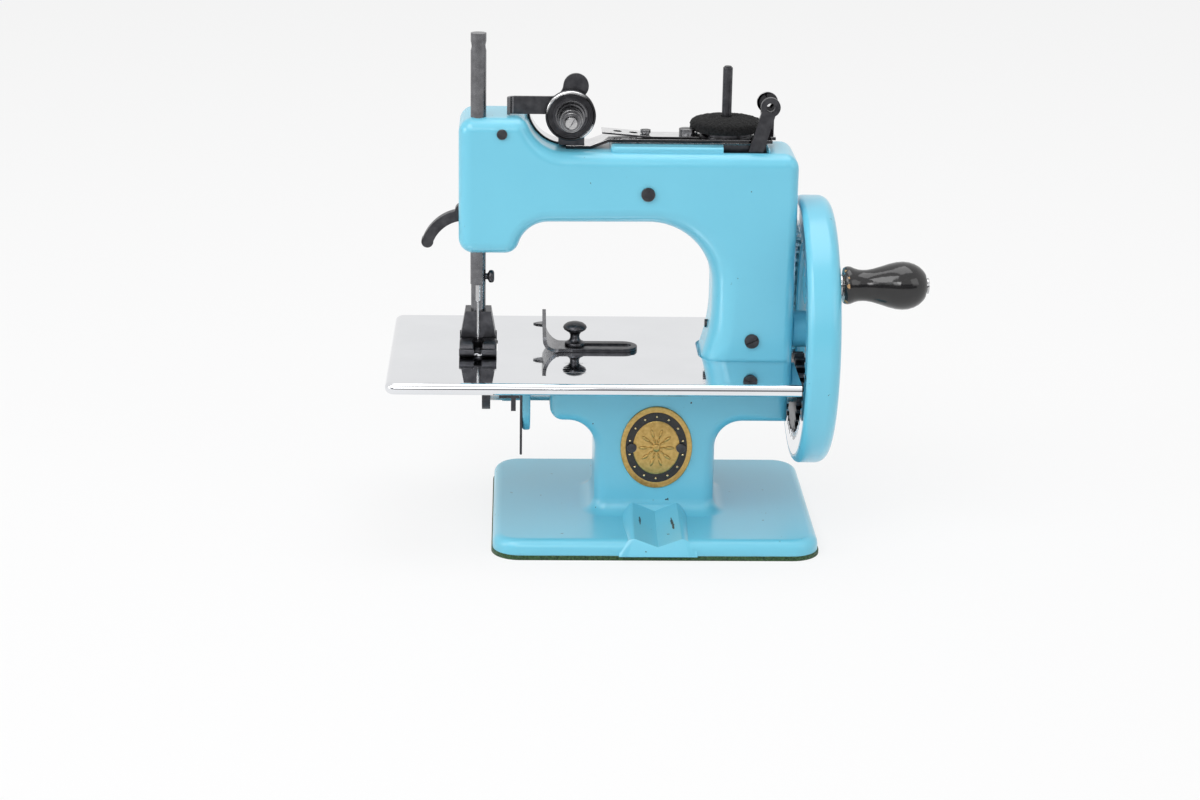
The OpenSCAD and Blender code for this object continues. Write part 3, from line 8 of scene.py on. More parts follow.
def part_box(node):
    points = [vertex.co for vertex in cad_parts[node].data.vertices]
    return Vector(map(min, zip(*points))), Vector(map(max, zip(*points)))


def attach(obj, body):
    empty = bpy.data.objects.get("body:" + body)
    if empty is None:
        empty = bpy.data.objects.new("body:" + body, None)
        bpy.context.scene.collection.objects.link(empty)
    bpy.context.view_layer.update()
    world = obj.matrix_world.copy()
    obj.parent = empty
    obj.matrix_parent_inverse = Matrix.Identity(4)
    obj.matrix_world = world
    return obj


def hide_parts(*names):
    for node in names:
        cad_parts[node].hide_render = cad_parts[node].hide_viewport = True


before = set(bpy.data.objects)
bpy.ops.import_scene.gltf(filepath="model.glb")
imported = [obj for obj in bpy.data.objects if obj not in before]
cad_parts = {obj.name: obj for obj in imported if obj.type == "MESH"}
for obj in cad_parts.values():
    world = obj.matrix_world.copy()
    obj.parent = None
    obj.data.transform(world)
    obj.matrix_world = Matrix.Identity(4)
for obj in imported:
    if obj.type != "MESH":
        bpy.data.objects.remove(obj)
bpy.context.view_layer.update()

# Base casting: slab, column and bed, cast in one piece in iron and dipped in turquoise enamel.
# Its edges are soft, its inside corners are rounded, and a V-shaped seat is cast on the slab's front.
# The enamel is glossy, a little uneven, and chipped to the dark metal in a few small spots.
mm = 0.001
slab_half_x, slab_half_y, slab_foot, slab_top = 53.8, 43.2, 1.5, 6.5
slab_corner, slab_edge = 9, 3.2


def spaced(points):
    """An outline without points that lie on the one before."""
    return [p for i, p in enumerate(points) if math.dist(p, points[i - 1]) > 0.05]


def prism(points, axis, low, high):
    """A closed outline in millimetres, pushed along an axis from low to high."""
    places = {"x": lambda a, b, c: (c, a, b), "y": lambda a, b, c: (a, c, b), "z": lambda a, b, c: (a, b, c)}
    place = places[axis]
    bm = bmesh.new()
    ring = [bm.verts.new(Vector(place(a, b, low)) * mm) for a, b in spaced(points)]
    pushed = bmesh.ops.extrude_face_region(bm, geom=[bm.faces.new(ring)])
    new = [g for g in pushed["geom"] if isinstance(g, bmesh.types.BMVert)]
    bmesh.ops.translate(bm, verts=new, vec=Vector(place(0, 0, high - low)) * mm)
    bmesh.ops.recalc_face_normals(bm, faces=bm.faces[:])
    return bm


def block(x, y, z):
    """A plain block between two corners, in millimetres."""
    return prism([(x[0], y[0]), (x[1], y[0]), (x[1], y[1]), (x[0], y[1])], "z", z[0], z[1])


def soften(bm, edges, width, segments):
    """Rounds some edges by a width in millimetres."""
    return bmesh.ops.bevel(bm, geom=edges, offset=width * mm, offset_type="OFFSET", segments=segments,
                           profile=0.5, affect="EDGES", material=-1, clamp_overlap=True)


def edges_at(bm, axis, places):
    """Edges that lie in one of the planes at these millimetres along an axis."""
    def lies(v):
        return [abs(v.co[axis] - p * mm) < 1e-6 for p in places]
    return [e for e in bm.edges if any(a and b for a, b in zip(lies(e.verts[0]), lies(e.verts[1])))]


def edges_along(bm, axis):
    """Edges that run along an axis."""
    return [e for e in bm.edges if abs(e.verts[0].co[axis] - e.verts[1].co[axis]) > 1e-4]


# Slab with round corners and a rounded upper edge
slab = block((-slab_half_x, slab_half_x), (-slab_half_y, slab_half_y), (slab_foot, slab_top))
soften(slab, edges_along(slab, 2), slab_corner, 10)
soften(slab, edges_at(slab, 2, [slab_top]), slab_edge, 6)


def arc(x, z, r, start, end, steps):
    """Points of an arc in millimetres, between two angles in degrees."""
    turns = [math.radians(start + (end - start) * i / steps) for i in range(steps + 1)]
    return [(x + r * math.cos(a), z + r * math.sin(a)) for a in turns]


# Column and bed in one outline, with hollow rounds between them
column_left, column_right, column_half_y, column_foot = -19.9, 20.5, 15, 3
bed_left, bed_right, bed_under, bed_top = -35, 44.5, 38, 58.3
hollow_r, bed_end_r, column_edge = 9, 4.4, 4.1
outline = [(column_left, column_foot)]
outline += arc(column_left - hollow_r, bed_under - hollow_r, hollow_r, 0, 90, 12)
outline += arc(bed_left + bed_end_r, bed_under + bed_end_r, bed_end_r, 270, 180, 6)
outline += [(bed_left, bed_top), (bed_right, bed_top), (bed_right, bed_under)]
outline += arc(column_right + hollow_r, bed_under - hollow_r, hollow_r, 90, 180, 12)
outline += [(column_right, column_foot)]
column = prism(outline, "y", -column_half_y, column_half_y)
rims = [e for e in edges_at(column, 1, [-column_half_y, column_half_y])
        if min(v.co.z for v in e.verts) < (bed_top - 0.3) * mm
        and max(v.co.z for v in e.verts) > (column_foot + 0.1) * mm]
soften(column, rims, column_edge, 7)


def ring_of(bm, spots, closed=True):
    """A ring, or an open chain, of edges through places in metres."""
    verts = [bm.verts.new(spot) for spot in spots]
    return [bm.edges.new((verts[i - 1], verts[i])) for i in range(0 if closed else 1, len(verts))]


def skin(bm, rings):
    """Faces from each ring to the next, with both ends closed."""
    for a, b in zip(rings, rings[1:]):
        bmesh.ops.bridge_loops(bm, edges=a + b)
    for ring in (rings[0], rings[-1]):
        bmesh.ops.contextual_create(bm, geom=ring)
    bmesh.ops.recalc_face_normals(bm, faces=bm.faces[:])
    return bm


# Flare at the column's foot: its top ring is sunk into the column, its last one into the slab
flare_x, flare_half_x, flare_half_y, flare_corner = 0.3, 20.2, 15, 4.2
flare_out, flare_drop, flare_top = 5, 5.02, 11.5
flare = bmesh.new()


def flare_ring(out, z):
    """A rectangle with round corners, a distance out from the column."""
    x, y, r = flare_half_x + out, flare_half_y + out, flare_corner + out
    corners = [(x - r, y - r, 0), (r - x, y - r, 90), (r - x, r - y, 180), (x - r, r - y, 270)]
    points = [p for cx, cy, a in corners for p in arc(flare_x + cx, cy, r, a, a + 90, 6)]
    return ring_of(flare, [(px * mm, py * mm, z * mm) for px, py in points])


rings = [flare_ring(-0.1, 16)]
for turn in range(0, 91, 15):
    a = math.radians(turn)
    rings.append(flare_ring(flare_out - flare_out * math.cos(a), flare_top - flare_drop * math.sin(a)))
rings.append(flare_ring(flare_out, 4))
skin(flare, rings)

# Seat on the slab: two ridges with a V between them, and a front that slopes out to the slab's foot
seat_x = 0.5
seat_sections = [
    (-14, [(-12.2, 5), (-9.3, 8.75), (-8.75, 9.4), (-8.1, 9.87), (-7.3, 10.15)]),
    (-42.2, [(-12.5, 4.4), (-10, 6.17), (-9.4, 6.57), (-8.7, 6.85), (-7.9, 7.0)]),
    (-44.3, [(-12.9, 1.8), (-11.7, 1.86), (-11.1, 1.88), (-10.5, 1.89), (-9.8, 1.9)]),
]
seat = bmesh.new()
rings = []
for y, rise in seat_sections:
    wide = -rise[0][0]
    points = rise + [(-x, z) for x, z in reversed(rise)] + [(wide, slab_foot), (-wide, slab_foot)]
    rings.append(ring_of(seat, [((x + seat_x) * mm, y * mm, z * mm) for x, z in points]))
skin(seat, rings)

# The V that is cut along the seat, and a little into the slab
vee_half, vee_open = 8.1, 20
vee = bmesh.new()
rings = []
for y, high, low in ((-15.5, 10.2, 7.65), (-50, 6.3, 3.75)):
    points = [(-vee_half, high), (0, low), (vee_half, high), (vee_half, vee_open), (-vee_half, vee_open)]
    rings.append(ring_of(vee, [((x + seat_x) * mm, y * mm, z * mm) for x, z in points]))
skin(vee, rings)

# Bearing lug under the plate's left half, with its bridge to the bed
lug_left, lug_right, lug_r, lug_z, lug_top = -44.2, -41.5, 9.7, 40.8, 54
lug_outline = [(lug_r, lug_top)] + arc(0, lug_z, lug_r, 0, -180, 20) + [(-lug_r, lug_top)]
lug = prism(lug_outline, "x", lug_left, lug_right)
soften(lug, edges_at(lug, 0, [lug_left, lug_right]), 0.7, 3)
bridge = block((-42, -33), (-7, 7), (45, lug_top))
soften(bridge, edges_along(bridge, 0), 1.5, 4)


def solid(name, bm):
    """A mesh object from a bmesh, at the origin."""
    mesh = bpy.data.meshes.new(name)
    bm.to_mesh(mesh)
    bm.free()
    obj = bpy.data.objects.new(name, mesh)
    bpy.context.scene.collection.objects.link(obj)
    return obj


def carve(obj, tools, how="DIFFERENCE"):
    """Joins or cuts shapes with an object and keeps the result as its mesh."""
    shapes = [solid("tool", t) for t in tools]
    for s in shapes:
        cut = obj.modifiers.new("carve", "BOOLEAN")
        cut.operation, cut.solver, cut.object = how, "EXACT", s
    bpy.context.view_layer.update()
    made = bpy.data.meshes.new_from_object(obj.evaluated_get(bpy.context.evaluated_depsgraph_get()))
    made.name = obj.name
    obj.modifiers.clear()
    obj.data = made
    for s in shapes:
        bpy.data.objects.remove(s)
    return obj


def rod(axis, low, high, at, r, steps=32):
    """A round bar along an axis, at a place given by the other two coordinates."""
    return prism(arc(at[0], at[1], r, 0, 360, steps)[:-1], axis, low, high)


shaft_at, bush_r, shaft_bore_r = (0, 44.2), 4.42, 3.1
bores = ((-36, -30, bush_r), (39.5, 46, bush_r), (-46, -34, shaft_bore_r))
base = solid("base_casting_enamelled", slab)
carve(base, [seat], "UNION")
carve(base, [vee])
carve(base, [column, flare, lug, bridge], "UNION")
carve(base, [rod("x", low, high, shaft_at, r) for low, high, r in bores])


def group(name, inputs, output):
    """An empty shader group with float inputs and one float output."""
    made = bpy.data.node_groups.new(name, "ShaderNodeTree")
    for label, value in inputs:
        socket = made.interface.new_socket(name=label, in_out="INPUT", socket_type="NodeSocketFloat")
        socket.default_value = value
    made.interface.new_socket(name=output, in_out="OUTPUT", socket_type="NodeSocketFloat")
    start, end = made.nodes.new("NodeGroupInput"), made.nodes.new("NodeGroupOutput")
    return made, start.outputs, end.inputs[output]


def wire(tree, n, sockets):
    """Links or sets some sockets of a node."""
    for socket, source in sockets:
        if hasattr(source, "is_linked"):
            tree.links.new(source, n.inputs[socket])
        else:
            n.inputs[socket].default_value = source


def node(tree, kind, sockets=(), **values):
    """A node with some of its sockets linked or set."""
    n = tree.nodes.new(kind)
    for key, value in values.items():
        setattr(n, key, value)
    wire(tree, n, sockets)
    return n


def place_in(tree):
    """The piece's own coordinates, in metres."""
    return tree.nodes.new("ShaderNodeTexCoord").outputs["Object"]


def clouds(tree, place, scale, detail):
    """Cloudy noise between 0 and 1."""
    sockets = [("Vector", place), ("Scale", scale), ("Detail", detail)]
    return node(tree, "ShaderNodeTexNoise", sockets).outputs[0]


def reckon(tree, how, a, b, clamp=False):
    """Two values added, taken away, multiplied or compared."""
    return node(tree, "ShaderNodeMath", [(0, a), (1, b)], operation=how, use_clamp=clamp).outputs[0]


def ramp(tree, value, low, high):
    """0 where the value is low, 1 where it is high."""
    sockets = [("Value", value), ("From Min", low), ("From Max", high)]
    return node(tree, "ShaderNodeMapRange", sockets).outputs[0]


# Uneven tone over a surface, from broad clouds and finer ones
tone, given, result = group("uneven_tone", [("Scale", 60.0), ("Contrast", 1.0)], "Tone")
spread = reckon(tone, "SUBTRACT", clouds(tone, place_in(tone), given["Scale"], 4.0), 0.5)
spread = reckon(tone, "MULTIPLY", spread, given["Contrast"])
tone.links.new(reckon(tone, "ADD", spread, 0.5, True), result)

# Small sparse chips: fine blots that show only where broad clouds are dense
chips, given, result = group("small_chips", [("Scale", 420.0), ("Limit", 0.68)], "Chips")
place = place_in(chips)
limit = reckon(chips, "ADD", given["Limit"], 0.02)
blots = ramp(chips, clouds(chips, place, given["Scale"], 3.0), given["Limit"], limit)
where = ramp(chips, clouds(chips, place, 75.0, 2.0), 0.56, 0.6)
chips.links.new(reckon(chips, "MULTIPLY", blots, where), result)


def blank(name):
    """A new material with an empty tree."""
    made = bpy.data.materials.new(name)
    made.use_nodes = True
    made.node_tree.nodes.clear()
    return made, made.node_tree


def paint(name):
    """A new material with one main shader."""
    made, tree = blank(name)
    shader = tree.nodes.new("ShaderNodeBsdfPrincipled")
    node(tree, "ShaderNodeOutputMaterial", [(0, shader.outputs[0])])
    return made, tree, shader


def use(tree, shared, **values):
    """A shader group placed in a material with its own values."""
    n = node(tree, "ShaderNodeGroup", node_tree=shared)
    wire(tree, n, values.items())
    return n.outputs[0]


def blend_colours(tree, mask, a, b):
    """Colour a where the mask is 0 and b where it is 1."""
    a, b = [c if hasattr(c, "is_linked") else (*c, 1) for c in (a, b)]
    return node(tree, "ShaderNodeMix", [(6, a), (7, b), (0, mask)], data_type="RGBA").outputs[2]


def blend_values(tree, mask, a, b):
    """Value a where the mask is 0 and b where it is 1."""
    return node(tree, "ShaderNodeMapRange", [("Value", mask), ("To Min", a), ("To Max", b)]).outputs[0]


def bump(tree, height, depth, strength):
    """Relief of a depth in millimetres."""
    sockets = [("Height", height), ("Distance", depth * mm), ("Strength", strength)]
    return node(tree, "ShaderNodeBump", sockets).outputs[0]


# The enamel, worn through in three spots in the seat's V
turquoise, pale_turquoise, bare_iron = (0.135, 0.525, 0.7), (0.165, 0.585, 0.755), (0.02, 0.035, 0.045)
worn_spots, spot_scale = ((-4.9, -27, 7.9), (5.6, -27.5, 7.9), (6.0, -31, 7.7)), (1600, 200, 500)
enamel, tree, shader = paint("turquoise_enamel")
flaked = use(tree, chips, Scale=430.0, Limit=0.7)
colour = blend_colours(tree, use(tree, tone, Scale=30.0, Contrast=1.1), turquoise, pale_turquoise)
place = place_in(tree)
ragged = clouds(tree, place, 900.0, 3.0)
for spot in worn_spots:
    shift = [-c * mm * scale for c, scale in zip(spot, spot_scale)]
    shape = node(tree, "ShaderNodeMapping", [("Vector", place), ("Location", shift), ("Scale", spot_scale)])
    reach = node(tree, "ShaderNodeVectorMath", [(0, shape.outputs[0])], operation="LENGTH").outputs["Value"]
    worn = ramp(tree, reckon(tree, "SUBTRACT", reach, ragged), 0.12, 0.02)
    flaked = reckon(tree, "MAXIMUM", flaked, worn)
wire(tree, shader, [
    ("Base Color", blend_colours(tree, flaked, colour, bare_iron)),
    ("Roughness", blend_values(tree, use(tree, tone, Scale=60.0, Contrast=1.2), 0.3, 0.38)),
    ("Coat Weight", 0.6),
    ("Coat Roughness", 0.2),
    ("Normal", bump(tree, use(tree, tone, Scale=70.0, Contrast=1.0), 0.03, 0.05)),
])


def shade(obj, angle=38, even=True):
    """Smooth faces with sharp edges past an angle, and even normals on the flats."""
    bm = bmesh.new()
    bm.from_mesh(obj.data)
    for f in bm.faces:
        f.smooth = True
    for e in bm.edges:
        e.smooth = e.is_manifold and e.calc_face_angle(0) < math.radians(angle)
    bm.to_mesh(obj.data)
    bm.free()
    if even:
        obj.modifiers.new("even", "WEIGHTED_NORMAL").keep_sharp = True
    return obj


def coat(obj, material):
    """Gives an object one material."""
    obj.data.materials.clear()
    obj.data.materials.append(material)


def fit(obj, body, material, slot, *nodes):
    """Gives a piece its material and its body, and hides the nodes it stands for. The slot is not used."""
    coat(obj, material)
    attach(obj, body)
    if nodes:
        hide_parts(*nodes)
    return obj


shade(base, 32)
fit(base, "machine", enamel, "enamel", "base_casting")

# Felt pad glued under the slab so that it doesn't scratch the table.
# It is dark green wool felt, cut a little larger than the casting, with a soft fibrous edge.
felt_out = 0.4
felt_half_x, felt_half_y = slab_half_x + felt_out, slab_half_y + felt_out
felt_pad = block((-felt_half_x, felt_half_x), (-felt_half_y, felt_half_y), (0, slab_foot))
soften(felt_pad, edges_along(felt_pad, 2), slab_corner + felt_out, 12)
soften(felt_pad, edges_at(felt_pad, 2, [slab_foot]), 0.4, 2)
bmesh.ops.triangulate(felt_pad, faces=felt_pad.faces[:])
felt_pad = shade(solid("base_felt_pad", felt_pad), 50)


def felt(name, dark, light, sheen=0.25):
    """Wool felt: matted fibres, uneven in tone, with a dull sheen."""
    made, tree, shader = paint(name)
    fibres = use(tree, tone, Scale=1500.0, Contrast=2.4)
    wire(tree, shader, [
        ("Base Color", blend_colours(tree, fibres, dark, light)),
        ("Roughness", blend_values(tree, use(tree, tone, Scale=700.0, Contrast=1.5), 0.85, 1.0)),
        ("Sheen Weight", sheen),
        ("Sheen Roughness", 0.6),
        ("Specular IOR Level", 0.15),
        ("Normal", bump(tree, fibres, 0.25, 0.9)),
    ])
    return made


green_felt = felt("green_wool_felt", (0.008, 0.03, 0.012), (0.05, 0.12, 0.04))
fit(felt_pad, "machine", green_felt, "green_felt", "base_felt")

# Oval badge: stamped brass with a plain rim, a black band with bright beads and a raised field.
# It is held on the column by two dark rivets, and its ornament is a plain rosette.
scratches, given, result = group("fine_scratches", [("Scale", 900.0)], "Marks")
place = place_in(scratches)
marks = None
for turn, squeeze in ((0.35, 0.04), (-0.6, 0.06), (1.3, 0.05)):
    lie = [("Vector", place), ("Rotation", (turn * 0.3, turn * 0.5, turn)), ("Scale", (squeeze, 1.0, 1.0))]
    drawn = node(scratches, "ShaderNodeMapping", lie).outputs[0]
    thin = ramp(scratches, clouds(scratches, drawn, given["Scale"], 1.0), 0.66, 0.74)
    marks = thin if marks is None else reckon(scratches, "MAXIMUM", marks, thin)
scratches.links.new(marks, result)


def metal(name, dark, light, rough, scratch_scale, tone_scale=260.0, depth=0.02):
    """Bare or plated metal: slightly uneven in tone, with fine scratches in its gloss."""
    made, tree, shader = paint(name)
    marks = use(tree, scratches, Scale=scratch_scale)
    wire(tree, shader, [
        ("Metallic", 1.0),
        ("Base Color", blend_colours(tree, use(tree, tone, Scale=tone_scale, Contrast=1.5), dark, light)),
        ("Roughness", blend_values(tree, marks, *rough)),
        ("Normal", bump(tree, marks, depth, 0.25)),
    ])
    return made


brass = metal("aged_brass", (0.40, 0.25, 0.075), (0.66, 0.46, 0.17), (0.3, 0.42), 1400.0, 900.0)
badge_x, badge_z, badge_back, badge_front, badge_inside = 0.7, 29.7, -15.0, -15.8, -15.3
badge_half_x, badge_half_z = 12, 14.3
band_front, field_front = badge_front + 0.15, badge_front - 0.1


def oval(share, y_back, y_front):
    """An oval plate on the column's front, a share of the badge's size."""
    points = [(badge_x + badge_half_x * share * math.cos(a), badge_z + badge_half_z * share * math.sin(a))
              for a in (math.radians(5 * i) for i in range(72))]
    return prism(points, "y", y_back, y_front)


plate = oval(1, badge_back, badge_front)
soften(plate, edges_at(plate, 1, [badge_front]), 0.35, 4)
front = max(plate.faces, key=lambda f: -f.calc_center_median().y * (f.normal.y < -0.9))
bmesh.ops.inset_region(plate, faces=[front], thickness=1.1 * mm, depth=-0.35 * mm)
bmesh.ops.inset_region(plate, faces=[front], thickness=0.25 * mm, depth=0)
plate = shade(solid("badge_brass", plate), 40)
fit(plate, "machine", brass, "brass", "badge_plate")

# Black band
black_paint, dusty = (0.006, 0.006, 0.007), (0.03, 0.028, 0.026)
band_black, tree, shader = paint("badge_black_enamel")
wire(tree, shader, [
    ("Base Color", blend_colours(tree, use(tree, tone, Scale=1500.0, Contrast=1.6), black_paint, dusty)),
    ("Roughness", blend_values(tree, use(tree, tone, Scale=800.0, Contrast=1.4), 0.3, 0.5)),
])
band = oval(0.86, badge_inside, band_front)
soften(band, edges_at(band, 1, [band_front]), 0.1, 2)
fit(shade(solid("badge_band", band), 40), "machine", band_black, "brass")

# Raised field with two rounds of petals and a centre
petals, petal_rounds, petal_oval = 10, ((4.4, 1.25), (2.3, 0.8)), 1.19
field = oval(0.66, badge_inside, field_front)
soften(field, edges_at(field, 1, [field_front]), 0.4, 3)
for k in range(petals):
    a = math.radians(360 / petals * k)
    for reach, size in petal_rounds:
        made = bmesh.ops.create_uvsphere(field, u_segments=12, v_segments=8, radius=mm)
        spot = (badge_x + reach * math.cos(a), field_front, badge_z + petal_oval * reach * math.sin(a))
        turn = Matrix.Translation(Vector(spot) * mm) @ Matrix.Rotation(-a, 4, "Y")
        shape = turn @ Matrix.Diagonal((1.25 * size, 0.6, 0.45 * size, 1))
        bmesh.ops.transform(field, matrix=shape, verts=made["verts"])
made = bmesh.ops.create_uvsphere(field, u_segments=16, v_segments=10, radius=mm)
middle = Matrix.Translation(Vector((badge_x, field_front, badge_z)) * mm)
bmesh.ops.transform(field, matrix=middle @ Matrix.Diagonal((1.3, 0.7, 1.5, 1)), verts=made["verts"])
fit(shade(solid("badge_field", field), 40, False), "machine", brass, "brass")

# Bright beads on the band
bead_count, bead_r, bead_y, bead_half_x, bead_half_z = 14, 0.45, badge_front + 0.1, 9.1, 10.85
beads = bmesh.new()
for k in range(bead_count):
    a = math.radians(360 / bead_count * k + 90)
    made = bmesh.ops.create_uvsphere(beads, u_segments=10, v_segments=6, radius=bead_r * mm)
    spot = Vector((badge_x + bead_half_x * math.cos(a), bead_y, badge_z + bead_half_z * math.sin(a))) * mm
    bmesh.ops.transform(beads, matrix=Matrix.Translation(spot), verts=made["verts"])
pale_brass = metal("rubbed_brass", (0.62, 0.47, 0.24), (0.85, 0.7, 0.42), (0.22, 0.4), 1800.0, 1200.0)
fit(shade(solid("badge_beads", beads), 60, False), "machine", pale_brass, "brass")

# Small fittings of blackened steel: stamped, turned and blued, with bright metal where the edges are rubbed.
# Each keeps its own solid's shape, with its sharp edges eased so that they catch the light.
wear, given, result = group("rubbed_edges", [("Scale", 500.0)], "Rub")
edge = node(wear, "ShaderNodeAttribute", attribute_name="edge").outputs["Fac"]
patch = ramp(wear, clouds(wear, place_in(wear), given["Scale"], 2.0), 0.36, 0.6)
wear.links.new(reckon(wear, "MULTIPLY", edge, patch), result)


def blued(name, dark, light, rough, rubbed=(0.17, 0.17, 0.175)):
    """Blackened steel with rubbed edges."""
    made, tree, shader = paint(name)
    colour = blend_colours(tree, use(tree, tone, Scale=420.0, Contrast=1.7), dark, light)
    wire(tree, shader, [
        ("Metallic", 1.0),
        ("Base Color", blend_colours(tree, use(tree, wear, Scale=520.0), colour, rubbed)),
        ("Roughness", blend_values(tree, use(tree, tone, Scale=900.0, Contrast=1.6), *rough)),
        ("Normal", bump(tree, use(tree, tone, Scale=1800.0, Contrast=1.2), 0.03, 0.3)),
    ])
    return made


black_steel = blued("blackened_steel", (0.042, 0.042, 0.047), (0.095, 0.095, 0.102), (0.28, 0.44))
grey_steel = blued("worn_grey_steel", (0.12, 0.12, 0.127), (0.22, 0.22, 0.23), (0.2, 0.34), (0.45,) * 3)
bright_steel = metal("bright_steel", (0.42, 0.42, 0.43), (0.62, 0.62, 0.62), (0.2, 0.36), 1500.0)


def eased(node_name, width=0.22, angle=35):
    """A copy of a solid with its outer edges rounded, which the rubbed metal follows."""
    bm = bmesh.new()
    bm.from_mesh(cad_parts[node_name].data)
    bmesh.ops.remove_doubles(bm, verts=bm.verts[:], dist=2e-6)
    bmesh.ops.dissolve_limit(bm, angle_limit=math.radians(0.6), verts=bm.verts[:], edges=bm.edges[:])
    outer = [e for e in bm.edges if e.is_manifold and e.is_convex]
    mark = bm.faces.layers.float.new("edge")
    made = soften(bm, [e for e in outer if e.calc_face_angle(0) > math.radians(angle)], width, 2)
    for f in made["faces"]:
        f[mark] = 1.0
    bmesh.ops.triangulate(bm, faces=[f for f in bm.faces if len(f.verts) > 4])
    return shade(solid(node_name + "_eased", bm), 40)


def dress(material, slot, body, *nodes, width):
    """Eased copies of several solids, all in one finish."""
    for n in nodes:
        fit(eased(n, width), body, material, slot, n)


dress(black_steel, "blackened", "machine", "badge_rivets", "head_screw", "lever_pivot_screw", width=0.15)
screw_end_x = 16.8
screws = eased("arm_screws", 0.15)
carve(screws, [block((5, screw_end_x), (-12, 12), (60, 76))])
fit(shade(screws, 40), "machine", black_steel, "blackened", "arm_screws")

# Main shaft under the bed, with its bushes, pinion, crank, cam and looper.
# The bushes are bronze. The rest is turned and hobbed from steel; pinion and looper are blackened.
bronze = metal("bearing_bronze", (0.35, 0.2, 0.07), (0.55, 0.36, 0.15), (0.3, 0.45), 1200.0)
for name, material in (("shaft_bushes", bronze), ("main_shaft", bright_steel), ("needle_crank", bright_steel),
                       ("feed_cam", bright_steel), ("looper", black_steel)):
    coat(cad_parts[name], material)
dress(black_steel, "blackened", "shaft", "shaft_pinion", width=0.12)

# Feed bar and the flat spring that hangs beside the bearing lug, both of blackened steel.
# The spring is cut from strip, and its lower end is rounded off.
leaf_left, leaf_foot, leaf_top = -45, 24.6, 50
dress(black_steel, "blackened", "feed", "feed_bar", width=0.15)
leaf = block((leaf_left, lug_left), (-9, -4), (leaf_foot, leaf_top))
soften(leaf, edges_at(leaf, 2, [leaf_foot]), 0.3, 2)
fit(shade(solid("feed_spring_leaf", leaf), 40), "machine", black_steel, "blackened", "feed_spring")

# Cloth plate: steel sheet with rolled edges on three sides, nickel and chrome plated to a mirror.
# It is notched round the pillar's foot and cut for the needle, the feed and the gauge's screw.
chrome = metal("mirror_chrome", (0.77, 0.78, 0.80), (0.84, 0.85, 0.87), (0.035, 0.16), 900.0, 40.0, 0.012)
plate_left, plate_right, plate_half_y, plate_under, plate_top = -88.6, 45.8, 42, 55.5, 59.5
roll_wide, roll_r, plate_corner = 4, 1.98, 3.2
notch_half_y, notch_x, notch_r, past_end = 14.6, 22.6, 8.2, 60
needle_at, needle_hole_r = (-59.1, -8), 1.5
gauge_screw_at, gauge_hole_r = (-26.7, 0), 1.66
through = (50, 65)
plate = block((plate_left, plate_right), (-plate_half_y, plate_half_y), (plate_under, plate_top))
soften(plate, [e for e in edges_along(plate, 2) if e.verts[0].co.x < 0], plate_corner, 6)
rims = [e for e in edges_at(plate, 2, [plate_under, plate_top])
        if min(v.co.x for v in e.verts) < (plate_right - 0.1) * mm]
soften(plate, rims, roll_r, 8)
plate = solid("cloth_plate_chromed", plate)
inner_y = plate_half_y - roll_wide
feed_slot = [(-57.0, -3.3), (-52.6, -3.3), (-52.6, 9.3), (-57.0, 9.3)]
notch = [(past_end, -notch_half_y), (past_end, notch_half_y)]
notch += arc(notch_x, notch_half_y - notch_r, notch_r, 90, 180, 8)
notch += arc(notch_x, notch_r - notch_half_y, notch_r, 180, 270, 8)
carve(plate, [
    block((plate_left + roll_wide, past_end), (-inner_y, inner_y), (through[0], bed_top)),
    prism(notch, "z", *through),
    rod("z", *through, needle_at, needle_hole_r),
    rod("z", *through, gauge_screw_at, gauge_hole_r),
    prism(feed_slot, "z", *through),
])
shade(plate, 35)
fit(plate, "machine", chrome, "chrome", "cloth_plate")

# Arm casting: pillar, arm and head in one hollow casting, enamelled like the base.
# It stands on the bed, and screws hold it there. The lever works inside it, through a slot in its ridge.
arm_half_y, corner_r, arm_right, arm_end = 13.75, 4.8, 45.4, 40.6
throat_left, throat_right, throat_top, throat_run = -46, 19, 106, 30
pillar_start, pillar_run, pillar_middle = -3.6, 20, 30
plain_edge, throat_more, pillar_more, end_less = 4.4, 1.6, 2, 1.2
head_bends = [(-60.7, 99.8, corner_r, 270, 180, 7), (-60.7, 135.2, corner_r, 180, 90, 7),
              (-47.05, 135.2, corner_r, 90, 22.46, 6)]
top_bends = [(-30.6, 142, 13, 202.46, 270, 12), (arm_end, 124.2, corner_r, 90, 0, 7)]
throat_bends = [(-36.7, 78, 55.1, -19.6, 0, 10), (-3.6, 83.5, 22, 0, 90, 18),
                (-36.2, 95.5, 10, 90, 163.1, 10), (-50.36, 99.8, corner_r, -16.9, -90, 6)]
outline = [p for bend in head_bends + top_bends for p in arc(*bend)] + [(arm_right, bed_top), (15.2, bed_top)]
outline = spaced(outline + [p for bend in throat_bends for p in arc(*bend)])


def edge_width(x, z):
    """How far the arm's edge is rounded: broad in the throat, tight at the right end."""
    if z < throat_top and throat_left < x < throat_right:
        up_throat = min((x - throat_left) / throat_run, 1)
        to_pillar = min(max((x - pillar_start) / pillar_run, 0), 1)
        return plain_edge + throat_more * up_throat + pillar_more * to_pillar
    return plain_edge - end_less * max((x - arm_end) / corner_r, 0)


def arm_ring(side, turn):
    """The arm's outline, drawn in as its edge turns towards one side."""
    inset, drop = 1 - math.cos(math.radians(turn)), 1 - math.sin(math.radians(turn))
    spots = []
    for i, (x, z) in enumerate(outline):
        before, after = outline[i - 1], outline[(i + 1) % len(outline)]
        inward = Vector((after[1] - before[1], before[0] - after[0])).normalized()
        if z < bed_top + 0.1:
            inward = Vector((1 if x < pillar_middle else -1, 0))
        width = edge_width(x, z)
        pull = width * inset
        spot = Vector((x + inward.x * pull, side * (arm_half_y - width * drop), z + inward.y * pull))
        spots.append(spot * mm)
    return ring_of(body, spots)


